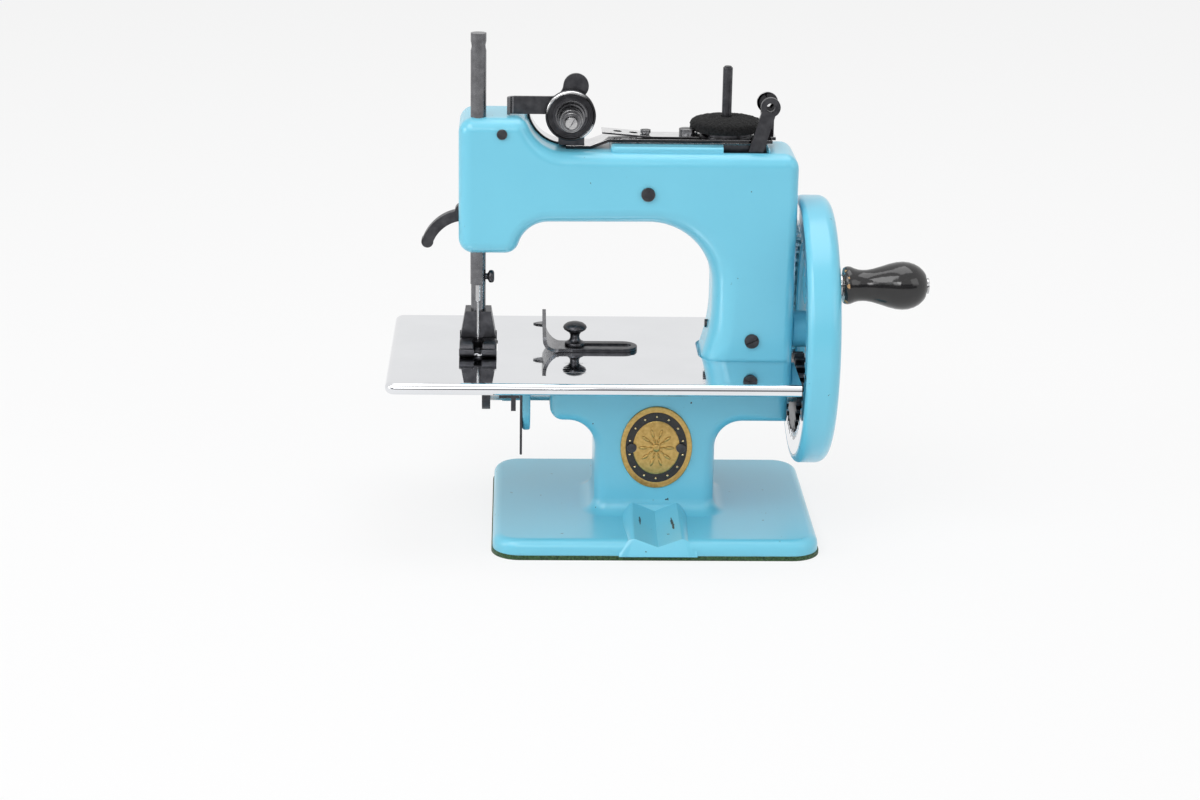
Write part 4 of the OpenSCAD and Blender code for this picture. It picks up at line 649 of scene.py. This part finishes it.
body = bmesh.new()
rings = [arm_ring(-1, turn) for turn in range(90, -1, -10)] + [arm_ring(1, turn) for turn in range(0, 91, 10)]
arm = solid("arm_casting_enamelled", skin(body, rings))

# Ridge on top, the hollow inside, the lever's way through the ridge and the lifter's slot in the head
ridge_half_y, ridge_top, roof = 10.5, 130.8, 125.8
inside_left, inside_right, inside_y = -63.1, 42, (-10.35, 10.35)
lever_x = (20.6, 35.4)
ridge = block((-16, 36), (-ridge_half_y, ridge_half_y), (128, ridge_top))
soften(ridge, edges_at(ridge, 2, [ridge_top]), 0.8, 3)
soften(ridge, edges_along(ridge, 2), 1.5, 4)
carve(arm, [ridge], "UNION")
carve(arm, [
    block((inside_left, inside_right), inside_y, (109, roof)),
    block((inside_left, inside_right), (-9.2, 9.2), (104.5, 110)),
    block((inside_left, -49.6), inside_y, (99, 134)),
    block((21, inside_right), inside_y, (50, roof)),
    block(lever_x, (-9.5, -6.5), (120, 140)),
    block(lever_x, (-20, -8), (129, 140)),
    block((-70, -60), (-3.5, 0.5), (102.2, 113.2)),
])
shade(arm, 32)
fit(arm, "machine", enamel, "enamel", "arm_casting")


# Hand wheel: a cast rim, web and hub on a fixed stud, enamelled, with the gear ring let into its left face.
# Round windows lighten the web.
def lathe(bm, centre, axis, steps, merge=1e-7):
    """Spins what a mesh holds once round an axis through a place in millimetres."""
    bmesh.ops.spin(bm, geom=bm.verts[:] + bm.edges[:], cent=[c * mm for c in centre], axis=axis,
                   dvec=(0, 0, 0), angle=2 * math.pi, steps=steps, use_merge=True)
    bmesh.ops.remove_doubles(bm, verts=bm.verts[:], dist=merge)
    bmesh.ops.recalc_face_normals(bm, faces=bm.faces[:])
    return bm


def turned_x(profile, at, steps=128):
    """A closed profile of radius and place along X, spun about an axis along X."""
    bm = bmesh.new()
    ring_of(bm, [(x * mm, at[0] * mm, (at[1] + r) * mm) for r, x in profile])
    return lathe(bm, (0, *at), (1, 0, 0), steps)


wheel_at, wheel_r, wheel_left, wheel_right = (0, 67), 45, 47, 58
stud_bore_r, hub_r, hub_left, hub_edge = 4.06, 6.1, 46, 0.4
web_left, web_right, web_r, web_edge, step_x = 52.3, 55.8, 34.2, 0.8, 51.3
rim_inside, rim_left_r, rim_right_r, lip_wide, lip_deep, step_edge = 42.4, 2, 4, 0.7, 0.6, 0.5
window_reach, window_r = 21.5, 7.2
profile = [(stud_bore_r, hub_left), (hub_r - hub_edge, hub_left), (hub_r, hub_left + hub_edge)]
profile += [(hub_r, web_left), (web_r - step_edge, web_left), (web_r, web_left - step_edge), (web_r, step_x)]
profile += [(rim_inside, step_x), (rim_inside, wheel_left)]
profile += arc(wheel_r - rim_left_r, wheel_left + rim_left_r, rim_left_r, -90, 0, 6)
profile += arc(wheel_r - rim_right_r, wheel_right - rim_right_r, rim_right_r, 0, 90, 8)
profile += [(web_r + lip_wide, wheel_right), (web_r, wheel_right - lip_deep), (web_r, web_right + web_edge)]
profile += [(web_r - web_edge, web_right), (hub_r + web_edge, web_right), (hub_r, web_right + web_edge)]
profile += [(hub_r, wheel_right - hub_edge), (hub_r - hub_edge, wheel_right), (stud_bore_r, wheel_right)]
wheel = solid("hand_wheel_enamelled", turned_x(profile, wheel_at))
windows = arc(*wheel_at, window_reach, 30, 330, 5)
carve(wheel, [rod("x", 50, 60, window, window_r, 40) for window in windows])
shade(wheel, 32)
fit(wheel, "wheel", enamel, "enamel", "hand_wheel")
dress(chrome, "chrome", "wheel", "ring_gear", width=0.1)
dress(bright_steel, "steel", "wheel", "handle_pin", width=0.15)
dress(bright_steel, "steel", "machine", "wheel_stud", "wheel_screw", width=0.2)

# Crank handle: turned beech with a flange and a waist, spinning on its pin.
# It is dipped in black lacquer, which is chipped to the pale wood at the flange and the end.
handle_at, handle_left, handle_long, handle_r, handle_bore_r = (-28.4855, 89.8214), 59.3, 26.6, 7.85, 1.86
end_wear, flange_wear = (84.5 * mm, 86.2 * mm), (62.2 * mm, 60.6 * mm)
beech, pale_beech = (0.33, 0.17, 0.06), (0.6, 0.38, 0.18)
lacquer_black, lacquer_grey = (0.006, 0.006, 0.007), (0.016, 0.015, 0.015)
lacquer, tree, shader = paint("black_lacquer_on_wood")
place = place_in(tree)
along = node(tree, "ShaderNodeSeparateXYZ", [(0, place)]).outputs[0]
near = reckon(tree, "MAXIMUM", ramp(tree, along, *end_wear), ramp(tree, along, *flange_wear))
bare = ramp(tree, reckon(tree, "MULTIPLY", clouds(tree, place, 190.0, 3.0), near), 0.6, 0.62)
wood = blend_colours(tree, clouds(tree, place, 900.0, 3.0), beech, pale_beech)
black = blend_colours(tree, use(tree, tone, Scale=300.0, Contrast=1.5), lacquer_black, lacquer_grey)
dents = reckon(tree, "SUBTRACT", use(tree, tone, Scale=210.0, Contrast=1.3), bare)
wire(tree, shader, [
    ("Base Color", blend_colours(tree, bare, black, wood)),
    ("Roughness", blend_values(tree, bare, 0.12, 0.6)),
    ("Coat Weight", 0.2),
    ("Coat Roughness", 0.05),
    ("Normal", bump(tree, dents, 0.25, 0.5)),
])
handle_shares = [
    (0, 0.72), (0.02, 0.77), (0.05, 0.79), (0.085, 0.775), (0.13, 0.71), (0.18, 0.66), (0.23, 0.645),
    (0.28, 0.65), (0.35, 0.69), (0.45, 0.79), (0.55, 0.9), (0.64, 0.975), (0.72, 1.0), (0.79, 0.98),
    (0.86, 0.91), (0.92, 0.8), (0.965, 0.665), (0.99, 0.56), (1, 0.5),
]
profile = [(handle_r * r, handle_left + handle_long * p) for p, r in handle_shares]
profile = [(handle_bore_r, handle_left)] + profile + [(handle_bore_r, handle_left + handle_long)]
handle = shade(solid("crank_handle_lacquered", turned_x(profile, handle_at, 72)), 40)
fit(handle, "handle", lacquer, "lacquered_wood", "crank_handle")

# Needle bar, its needle and the screw that clamps it, with the lever, stud and pitman that move them.
# The bar is ground steel, darkened by oil; the needle is bright, and the lever is a blackened stamping.
bar_foot = 84
bar = eased("needle_bar", 0.25)
carve(bar, [block((-64, -54), (-13, -3), (70, bar_foot))])
fit(shade(bar, 40), "needle_unit", grey_steel, "blackened", "needle_bar")
dress(bright_steel, "steel", "needle_unit", "needle_stud", width=0.1)
coat(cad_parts["needle"], bright_steel)
screw_low, screw_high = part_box("needle_clamp_screw")
screw_z = (screw_low[2] + screw_high[2]) / 2 / mm
screw_start, screw_end, screw_r = screw_low[0] / mm, screw_high[0] / mm - 0.8, 1.0
knob = [(1.35, 2.0), (1.9, 1.75), (2.1, 1.35), (2.1, 0.7), (1.85, 0.25), (1.2, 0), (0, 0)]
profile = [(0, screw_start), (screw_r, screw_start), (screw_r, screw_end - 2.3)]
profile += [(r, screw_end - back) for r, back in knob]
clamp_screw = solid("needle_clamp_screw_turned", turned_x(profile, (needle_at[1], screw_z), 40))
fit(shade(clamp_screw, 40), "needle_screw", black_steel, "blackened", "needle_clamp_screw")
dress(black_steel, "blackened", "lever", "needle_lever", width=0.25)
dress(bright_steel, "steel", "pitman_rod", "pitman", width=0.15)

# Presser bar, foot, spring and lifter behind the needle.
# The foot is stamped and blackened, and the lifter is a curved finger on a pin in the head.
foot_waist, foot_cut_top, foot_y = 73.4, 80, (-10, 10)
dress(grey_steel, "blackened", "presser", "presser_bar", width=0.25)
foot = eased("presser_foot", 0.25)
left_side = [(-67, 64.7), (-64.9, 64.7), (-63.4, foot_waist), (-63.4, foot_cut_top), (-67, foot_cut_top)]
right_side = [(2 * needle_at[0] - x, z) for x, z in left_side]
carve(foot, [prism(side, "y", *foot_y) for side in (left_side, right_side)]
      + [block((-66, -52), foot_y, (foot_waist, foot_cut_top))])
fit(shade(foot, 40), "presser", black_steel, "blackened", "presser_foot")
toe_hump = [(-4.6, 61.7), (-4.6, 64.1), (-5.4, 64.5), (-6.6, 64.65), (-7.8, 64.6), (-8.9, 64.35),
            (-9.9, 63.85), (-10.7, 63.2), (-11.1, 62.4), (-11.2, 61.7)]
toe_round, toe_gap_r = 0.5, 2.3
for name, low, high in (("presser_foot_toe_left", -65.2, -60.5), ("presser_foot_toe_right", -57.7, -53.0)):
    toe = prism(toe_hump, "x", low, high)
    soften(toe, edges_at(toe, 0, [low, high]), toe_round, 3)
    toe = carve(solid(name, toe), [rod("z", 61, 66, needle_at, toe_gap_r)])
    fit(shade(toe, 40), "presser", black_steel, "blackened")
dress(bright_steel, "steel", "presser", "presser_collar", width=0.15)
dress(bright_steel, "steel", "machine", "lifter_pin", width=0.1)
coat(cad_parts["presser_spring"], bright_steel)
dress(black_steel, "blackened", "lifter", "presser_lifter", width=0.3)

# Strap, leaf spring and tension on top of the arm.
# The strap and the bracket are black stampings, the leaf is bright spring steel, and the discs are dished.
# Painted highlight: faces marked for it are painted pale, and all other faces dark
strap_dark, strap_grey = (0.02, 0.02, 0.022), (0.06, 0.06, 0.063)
highlight_pale, highlight_white = (0.66, 0.66, 0.67), (0.82, 0.82, 0.82)
steel_with_painted_highlight, tree, shader = paint("steel_painted_bright_on_top")
upper = node(tree, "ShaderNodeAttribute", attribute_name="upper").outputs["Fac"]
dark = blend_colours(tree, use(tree, tone, Scale=420.0, Contrast=1.6), strap_dark, strap_grey)
pale = blend_colours(tree, use(tree, tone, Scale=300.0, Contrast=1.5), highlight_pale, highlight_white)
wire(tree, shader, [
    ("Metallic", 1.0),
    ("Base Color", blend_colours(tree, upper, dark, pale)),
    ("Roughness", blend_values(tree, use(tree, scratches, Scale=900.0), 0.1, 0.3)),
])


def paint_highlight(obj, how_bright):
    """Marks how strongly each face of a sheet shows the painted highlight, from 0 to 1."""
    marks = obj.data.attributes.new("upper", "FLOAT", "FACE")
    for face in obj.data.polygons:
        marks.data[face.index].value = how_bright(face)


# The strap and the leaf: every face that looks up carries the painted highlight in full
for name in ("top_strap", "leaf_spring"):
    sheet = eased(name, 0.12)
    paint_highlight(sheet, lambda face: 1.0 if face.normal.z > 0.3 else 0.0)
    fit(sheet, "machine", steel_with_painted_highlight, "blackened", name)
dress(black_steel, "blackened", "machine", "tension_disc_rear", width=0.2)

# Bracket with a round ear for the stud, a guide arm and a lip bent round at the arm's end
tension_x, tension_z = -29.2, 140.4
ear_x, ear_r, ear_foot, ear_foot_top = (-33, -24.6), 5.4, 130.2, 131.3
guide_end, guide_low, guide_high = -47.7, 140.3, 146.1
bracket_front, bracket_back = -4.95, -3.85
paddle_x, paddle_z, paddle_r, hook_r = -27.5, 149.6, 4.15, 4
lip_y, lip_r, lip_inner_r = -6.05, 2.2, 1.1
shade_sheet_x, shade_sheet_y, shade_sheet_z = (20.8, 35.0), (-6.75, -6.45), (127.5, 131.0)
outline = [(guide_end, guide_low), (ear_x[0], guide_low), (ear_x[0], ear_foot), (ear_x[1], ear_foot)]
outline += arc(tension_x, tension_z, ear_r, -31, 50, 8) + arc(paddle_x, paddle_z, paddle_r, -24, 180, 24)
outline += arc(paddle_x - paddle_r - hook_r, guide_high + hook_r, hook_r, 0, -90, 10)
outline += [(guide_end, guide_high)]
bracket = prism(outline, "y", bracket_front, bracket_back)
soften(bracket, edges_at(bracket, 1, [bracket_front]), 0.15, 2)
bracket = solid("tension_bracket_stamped", bracket)
carve(bracket, [block(ear_x, (-4.9, 3), (ear_foot, ear_foot_top))], "UNION")
fit(shade(bracket, 40), "machine", black_steel, "blackened", "tension_bracket")
bend = arc(guide_end, lip_y, lip_r, 90, 195, 10) + arc(guide_end, lip_y, lip_inner_r, 195, 90, 10)
lip = prism(bend, "z", guide_low, guide_high)
soften(lip, edges_at(lip, 2, [guide_low, guide_high]), 0.15, 2)
fit(shade(solid("tension_bracket_lip", lip), 40), "machine", grey_steel, "blackened")
# A thin black sheet on the back wall of the lever's slot in the ridge: painted shade for the dark inside of
# the slot
shade_sheet = block(shade_sheet_x, shade_sheet_y, shade_sheet_z)
fit(shade(solid("slot_shade_sheet", shade_sheet), 40), "machine", black_steel, "blackened")
dress(grey_steel, "steel", "machine", "strap_pad", width=0.1)
dress(grey_steel, "blackened", "machine", "strap_screws", width=0.2)

# Front disc, dished and ringed, with a rolled rim that carries a painted highlight at its top left and its
# bottom right
disc_low, disc_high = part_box("tension_disc_front")
disc_back = disc_high[1] / mm
disc_rings = [(2, 0), (5.6, 0), (7.5, 1.05), (7.95, 1.25), (8.1, 1.5), (7.95, 1.75), (7.6, 1.8), (7.3, 1.5),
              (7, 1.53), (6.8, 1.2), (6.5, 1.23), (6.3, 0.92), (6, 0.95), (5.8, 0.7), (5.2, 0.8), (5, 0.68),
              (4.4, 0.78), (4.2, 0.68), (2, 0.7)]
disc = turned_x([(r, out - disc_back) for r, out in disc_rings], (0, 0), 72)
to_front = Matrix.Rotation(math.radians(-90), 3, "Z")
bmesh.ops.rotate(disc, verts=disc.verts[:], cent=(0, 0, 0), matrix=to_front)
bmesh.ops.translate(disc, verts=disc.verts[:], vec=Vector((tension_x, 0, tension_z)) * mm)
disc = shade(solid("tension_disc_front_dished", disc), 25)
fit(disc, "machine", black_steel, "steel", "tension_disc_front")
rim_reach, rim_wire_r, rim_back = 7.72, 0.5, 0.45
rim_at = Vector((tension_x * mm, disc_low[1] + rim_back * mm, tension_z * mm))
rim = bmesh.new()
bmesh.ops.create_circle(rim, segments=12, radius=rim_wire_r * mm)
bmesh.ops.translate(rim, verts=rim.verts[:], vec=Vector((rim_reach * mm, 0, 0)))
lathe(rim, (0, 0, 0), (0, 1, 0), 72)
bmesh.ops.translate(rim, verts=rim.verts[:], vec=rim_at)
rim = shade(solid("tension_disc_rim", rim), 60, False)


def rim_highlight(face):
    """A painted highlight on the rim, strongest at its top left and its bottom right."""
    out = face.center - rim_at
    turn = math.degrees(math.atan2(out.z, out.x))
    top_left_glint, bottom_right_glint = 1 - abs(turn - 112) / 62, 1 - abs(turn + 42) / 24
    return min(1.0, max(0.0, 3 * top_left_glint, 2 * bottom_right_glint))


# Painted highlight on the rim's top left and bottom right
paint_highlight(rim, rim_highlight)
fit(rim, "machine", steel_with_painted_highlight, "steel")
dress(bright_steel, "steel", "machine", "tension_stud", width=0.15)
dress(grey_steel, "steel", "nut", "tension_nut", width=0.2)

# Conical spring between the disc and the nut: wire wound in three turns that narrow towards the front
coil_r, coil_less, coil_long, coil_steps, wire_r = 5, 2.3, 6.66, 96, 0.4
coil_at = Vector((tension_x, bracket_front - 3.04, tension_z)) * mm
spring = bmesh.new()
bmesh.ops.create_circle(spring, segments=10, radius=wire_r * mm)
bmesh.ops.translate(spring, verts=spring.verts[:], vec=Vector((coil_r, 0, 0)) * mm)
bmesh.ops.spin(spring, geom=spring.verts[:] + spring.edges[:], cent=(0, 0, 0), axis=(0, 0, 1),
               dvec=(0, 0, coil_long / coil_steps * mm), angle=6 * math.pi, steps=coil_steps)
for v in spring.verts:
    r = math.hypot(v.co.x, v.co.y)
    drawn_in = coil_less * mm * min(max(v.co.z / (coil_long * mm), 0), 1)
    v.co.x *= (r - drawn_in) / r
    v.co.y *= (r - drawn_in) / r
bmesh.ops.holes_fill(spring, edges=[e for e in spring.edges if e.is_boundary], sides=0)
forward = Matrix.Rotation(math.radians(90), 3, "X")
bmesh.ops.rotate(spring, verts=spring.verts[:], cent=(0, 0, 0), matrix=forward)
bmesh.ops.translate(spring, verts=spring.verts[:], vec=coil_at)
bmesh.ops.recalc_face_normals(spring, faces=spring.faces[:])
fit(shade(solid("tension_spring_wire", spring), 60, False), "machine", grey_steel, "steel", "tension_spring")


# Spool pin, pressed into the strap, with a dark washer and a thick disc of black felt under the spool.
# The felt is punched from loose wool sheet, so its edge is fuzzy and a little uneven.
def turned_z(profile, at, steps, closed=True, merge=1e-7):
    """A profile of radius and height, spun about an upright axis."""
    bm = bmesh.new()
    ring_of(bm, [((at[0] + r) * mm, at[1] * mm, z * mm) for r, z in profile], closed)
    return lathe(bm, (*at, 0), (0, 0, 1), steps, merge)


spool_at, felt_bore_r, felt_foot, fuzz_seed = (22.5, 5), 1.85, 133.9, 5
dress(black_steel, "blackened", "machine", "spool_pin", "spool_washer", width=0.2)
black_felt = felt("black_wool_felt", (0.002, 0.002, 0.002), (0.016, 0.016, 0.017), 0.05)
profile = [(felt_bore_r, felt_foot), (8.8, felt_foot), (10.4, 133.7), (11.4, felt_foot), (11.9, 134.5),
           (12, 135.2), (12, 136), (11.7, 136.7), (11, 137.2), (9.5, 137.6), (8, 137.9), (6, 138.1),
           (4, 138.25), (felt_bore_r, 138.3)]
disc = turned_z(profile, spool_at, 96)
bmesh.ops.subdivide_edges(disc, edges=disc.edges[:], cuts=1, use_grid_fill=True)
noise.seed_set(fuzz_seed)
for v in disc.verts:
    r = math.hypot(v.co.x - spool_at[0] * mm, v.co.y - spool_at[1] * mm)
    if r > (felt_bore_r + 0.35) * mm and v.co.z > (felt_foot + 0.05) * mm:
        v.co += noise.noise_vector(v.co * 900) * 0.22 * mm + noise.noise_vector(v.co * 2600) * 0.12 * mm
disc = shade(solid("spool_felt_disc", disc), 70, False)
fit(disc, "machine", black_felt, "black_felt", "spool_felt")

# Cloth gauge: a slotted strip with a bent-up fence, held by a mushroom-headed thumb screw.
# Both are blackened steel, rubbed bright along the edges.
strip_left, strip_right, strip_half, strip_under, strip_top = -32, -10.7, 5, 59.6, 60.8
slot_left, slot_right, slot_r = -27.6, -9.6, 1.9


def gauge_slot():
    """The long slot that the thumb screw stands in."""
    points = arc(slot_left, 0, slot_r, 90, 270, 12) + arc(slot_right, 0, slot_r, -90, 90, 12)
    return prism(points, "z", 58, 62)


outline = [(strip_left, -strip_half), (strip_right, -strip_half)]
outline += arc(strip_right, 0, strip_half, -90, 90, 16) + [(strip_left, strip_half)]
strip = prism(outline, "z", strip_under, strip_top)
soften(strip, edges_at(strip, 2, [strip_top]), 0.3, 2)
strip = carve(solid("cloth_gauge_strip", strip), [gauge_slot()])
fit(shade(strip, 40), "gauge", black_steel, "blackened", "cloth_gauge")

# Fence: it curls up out of the strip, widens and ends in a slanting edge with a small tongue
curl_x, curl_z, fence_half = -31.8, 65.4, 9.9
fence = bmesh.new()


def fence_ring(inner, outer, half, slant=0):
    """A section across the fence, through a place on its inner and on its outer face."""
    (x_in, z_in), (x_out, z_out) = inner, outer
    spots = [(x_in, -half, z_in), (x_in, half, z_in + slant)]
    spots += [(x_out, half, z_out + slant), (x_out, -half, z_out)]
    return ring_of(fence, [Vector(spot) * mm for spot in spots])


rings = [fence_ring((slot_left, 60.82), (slot_left, 59.62), strip_half)]
for turn in range(0, 91, 15):
    across, down = math.sin(math.radians(turn)), math.cos(math.radians(turn))
    inner = (curl_x - 4.6 * across, curl_z - 4.58 * down)
    outer = (curl_x - 5.8 * across, curl_z - 5.78 * down)
    rings.append(fence_ring(inner, outer, 5.1 + 4.7 * across ** 1.4))
rings.append(fence_ring((curl_x - 4.6, 66.2), (curl_x - 5.8, 66.2), fence_half, 4.2))
fence = solid("cloth_gauge_fence", skin(fence, rings))
tongue = [(-37.2, 5.2), (-37.2, 9.6), (-39.2, 8.6), (-40.6, 7.4), (-39.6, 6.2)]
carve(fence, [prism(tongue, "z", 65.4, 66.3)], "UNION")
carve(fence, [gauge_slot()])
fit(shade(fence, 35), "gauge", grey_steel, "blackened")

# Thumb screw: a mushroom head, a waist and a flange above its thread
flange_r, flange_foot, thread_r, thread_foot = 3.4, 60.95, 1.6, 56.0
profile = [(0, 68.9), (1.6, 68.75), (2.9, 68.3), (3.75, 67.6), (4.0, 67.0), (3.7, 66.35), (2.9, 65.8),
           (2.0, 65.2), (1.6, 64.4), (1.55, 63.6), (1.8, 62.8), (2.4, 62.2), (3.2, 61.85), (flange_r, 61.5)]
profile += [(flange_r, flange_foot), (thread_r, flange_foot), (thread_r, thread_foot), (0, thread_foot)]
thumb_screw = solid("gauge_thumb_screw_turned", turned_z(profile, gauge_screw_at, 64, False, 1e-6))
fit(shade(thumb_screw, 35), "gauge_thumb_screw", black_steel, "blackened", "gauge_screw")


# Pale table top that runs out of sight, soft studio light from all sides and the camera.
# The table glows a little to the eye, so that it meets the backdrop without an edge.
def in_sight(tree):
    """1 for what the eye sees, also in a mirror or through glass, else 0."""
    rays = tree.nodes.new("ShaderNodeLightPath").outputs
    sight = reckon(tree, "MAXIMUM", rays["Is Camera Ray"], rays["Is Glossy Ray"])
    return reckon(tree, "MAXIMUM", sight, rays["Is Transmission Ray"])


def glow(tree, colour):
    """An even glow of a colour."""
    return node(tree, "ShaderNodeEmission", [("Color", (*colour, 1)), ("Strength", 1.0)]).outputs[0]


def mix_in(tree, mask, first, second):
    """A surface: the first shader where the mask is 0, the second where it is 1."""
    both = node(tree, "ShaderNodeMixShader", [(0, mask), (1, first), (2, second)])
    node(tree, "ShaderNodeOutputMaterial", [(0, both.outputs[0])])


pale_table, tree = blank("pale_table")
matt = node(tree, "ShaderNodeBsdfDiffuse", [("Color", (0.86, 0.86, 0.865, 1))]).outputs[0]
mix_in(tree, reckon(tree, "MULTIPLY", in_sight(tree), 0.8), matt, glow(tree, (0.985, 0.985, 0.985)))
bm = bmesh.new()
bmesh.ops.create_grid(bm, x_segments=2, y_segments=2, size=4.0)
table = solid("table_top", bm)
coat(table, pale_table)

# Even light from all round, brighter to the eye than on the pieces
world = bpy.data.worlds.new("studio")
bpy.context.scene.world = world
world.use_nodes = True
tree = world.node_tree
tree.nodes.clear()
power = blend_values(tree, in_sight(tree), 0.5, 0.9)
sky = node(tree, "ShaderNodeBackground", [("Color", (1, 1, 1, 1)), ("Strength", power)])
node(tree, "ShaderNodeOutputWorld", [(0, sky.outputs[0])])

# Grey card in front of the set: only mirror-like surfaces see it
card_at, card_half = (0.6, -2.4, 0.55), (2.6, 0.5, 1, 1)
grey_card, tree = blank("grey_card")
clear = tree.nodes.new("ShaderNodeBsdfTransparent").outputs[0]
mirrored = tree.nodes.new("ShaderNodeLightPath").outputs["Is Glossy Ray"]
mix_in(tree, mirrored, clear, glow(tree, (0.2, 0.2, 0.21)))
bm = bmesh.new()
bmesh.ops.create_grid(bm, x_segments=1, y_segments=1, size=1.0)
stand = Matrix.Translation(card_at) @ Matrix.Rotation(math.radians(90), 4, "X")
bmesh.ops.transform(bm, matrix=stand @ Matrix.Diagonal(card_half), verts=bm.verts[:])
card = solid("grey_card", bm)
coat(card, grey_card)


def softbox(name, at, aim, size, power, spread=180):
    """A square area lamp turned to a point, with its beam narrowed to an angle."""
    lamp = bpy.data.lights.new(name, "AREA")
    lamp.shape, lamp.size, lamp.energy, lamp.spread = "SQUARE", size, power, math.radians(spread)
    obj = bpy.data.objects.new(name, lamp)
    obj.location = at
    obj.rotation_euler = (Vector(aim) - Vector(at)).to_track_quat("-Z", "Y").to_euler()
    bpy.context.scene.collection.objects.link(obj)


machine_middle = (0, 0, 0.08)
softbox("key_softbox", (-0.55, -0.65, 1.0), machine_middle, 0.7, 5.5)
softbox("top_softbox", (0.15, 0.1, 1.3), machine_middle, 0.9, 5.2)
softbox("side_softbox", (0.9, -0.7, 0.6), machine_middle, 0.6, 1.3)
softbox("front_softbox", (-0.15, -0.85, 0.45), (0, -0.02, -0.02), 0.3, 0.05, 30)
softbox("left_softbox", (-1.1, -0.4, 0.4), (-0.06, 0, 0.11), 0.35, 2.1)

# Camera in front of the machine, a little above it
eye = (-0.04734, -0.83947, 0.30653)
yaw, pitch, roll = math.radians(-2.01), math.radians(17.52), math.radians(0.96)
ahead = Vector((-math.sin(yaw) * math.cos(pitch), math.cos(yaw) * math.cos(pitch), -math.sin(pitch)))
right = Vector((math.cos(yaw), math.sin(yaw), 0))
up = right.cross(ahead)
across = right * math.cos(roll) + up * math.sin(roll)
above = up * math.cos(roll) - right * math.sin(roll)
camera = bpy.data.cameras.new("photo_camera")
camera.sensor_fit, camera.sensor_width, camera.lens, camera.clip_start = "HORIZONTAL", 36, 78, 0.01
view = bpy.data.objects.new("photo_camera", camera)
view.matrix_world = Matrix.Translation(eye) @ Matrix((across, above, -ahead)).transposed().to_4x4()
bpy.context.scene.collection.objects.link(view)
bpy.context.scene.camera = view
bpy.context.scene.view_settings.view_transform = "Standard"

bpy.context.view_layer.update()
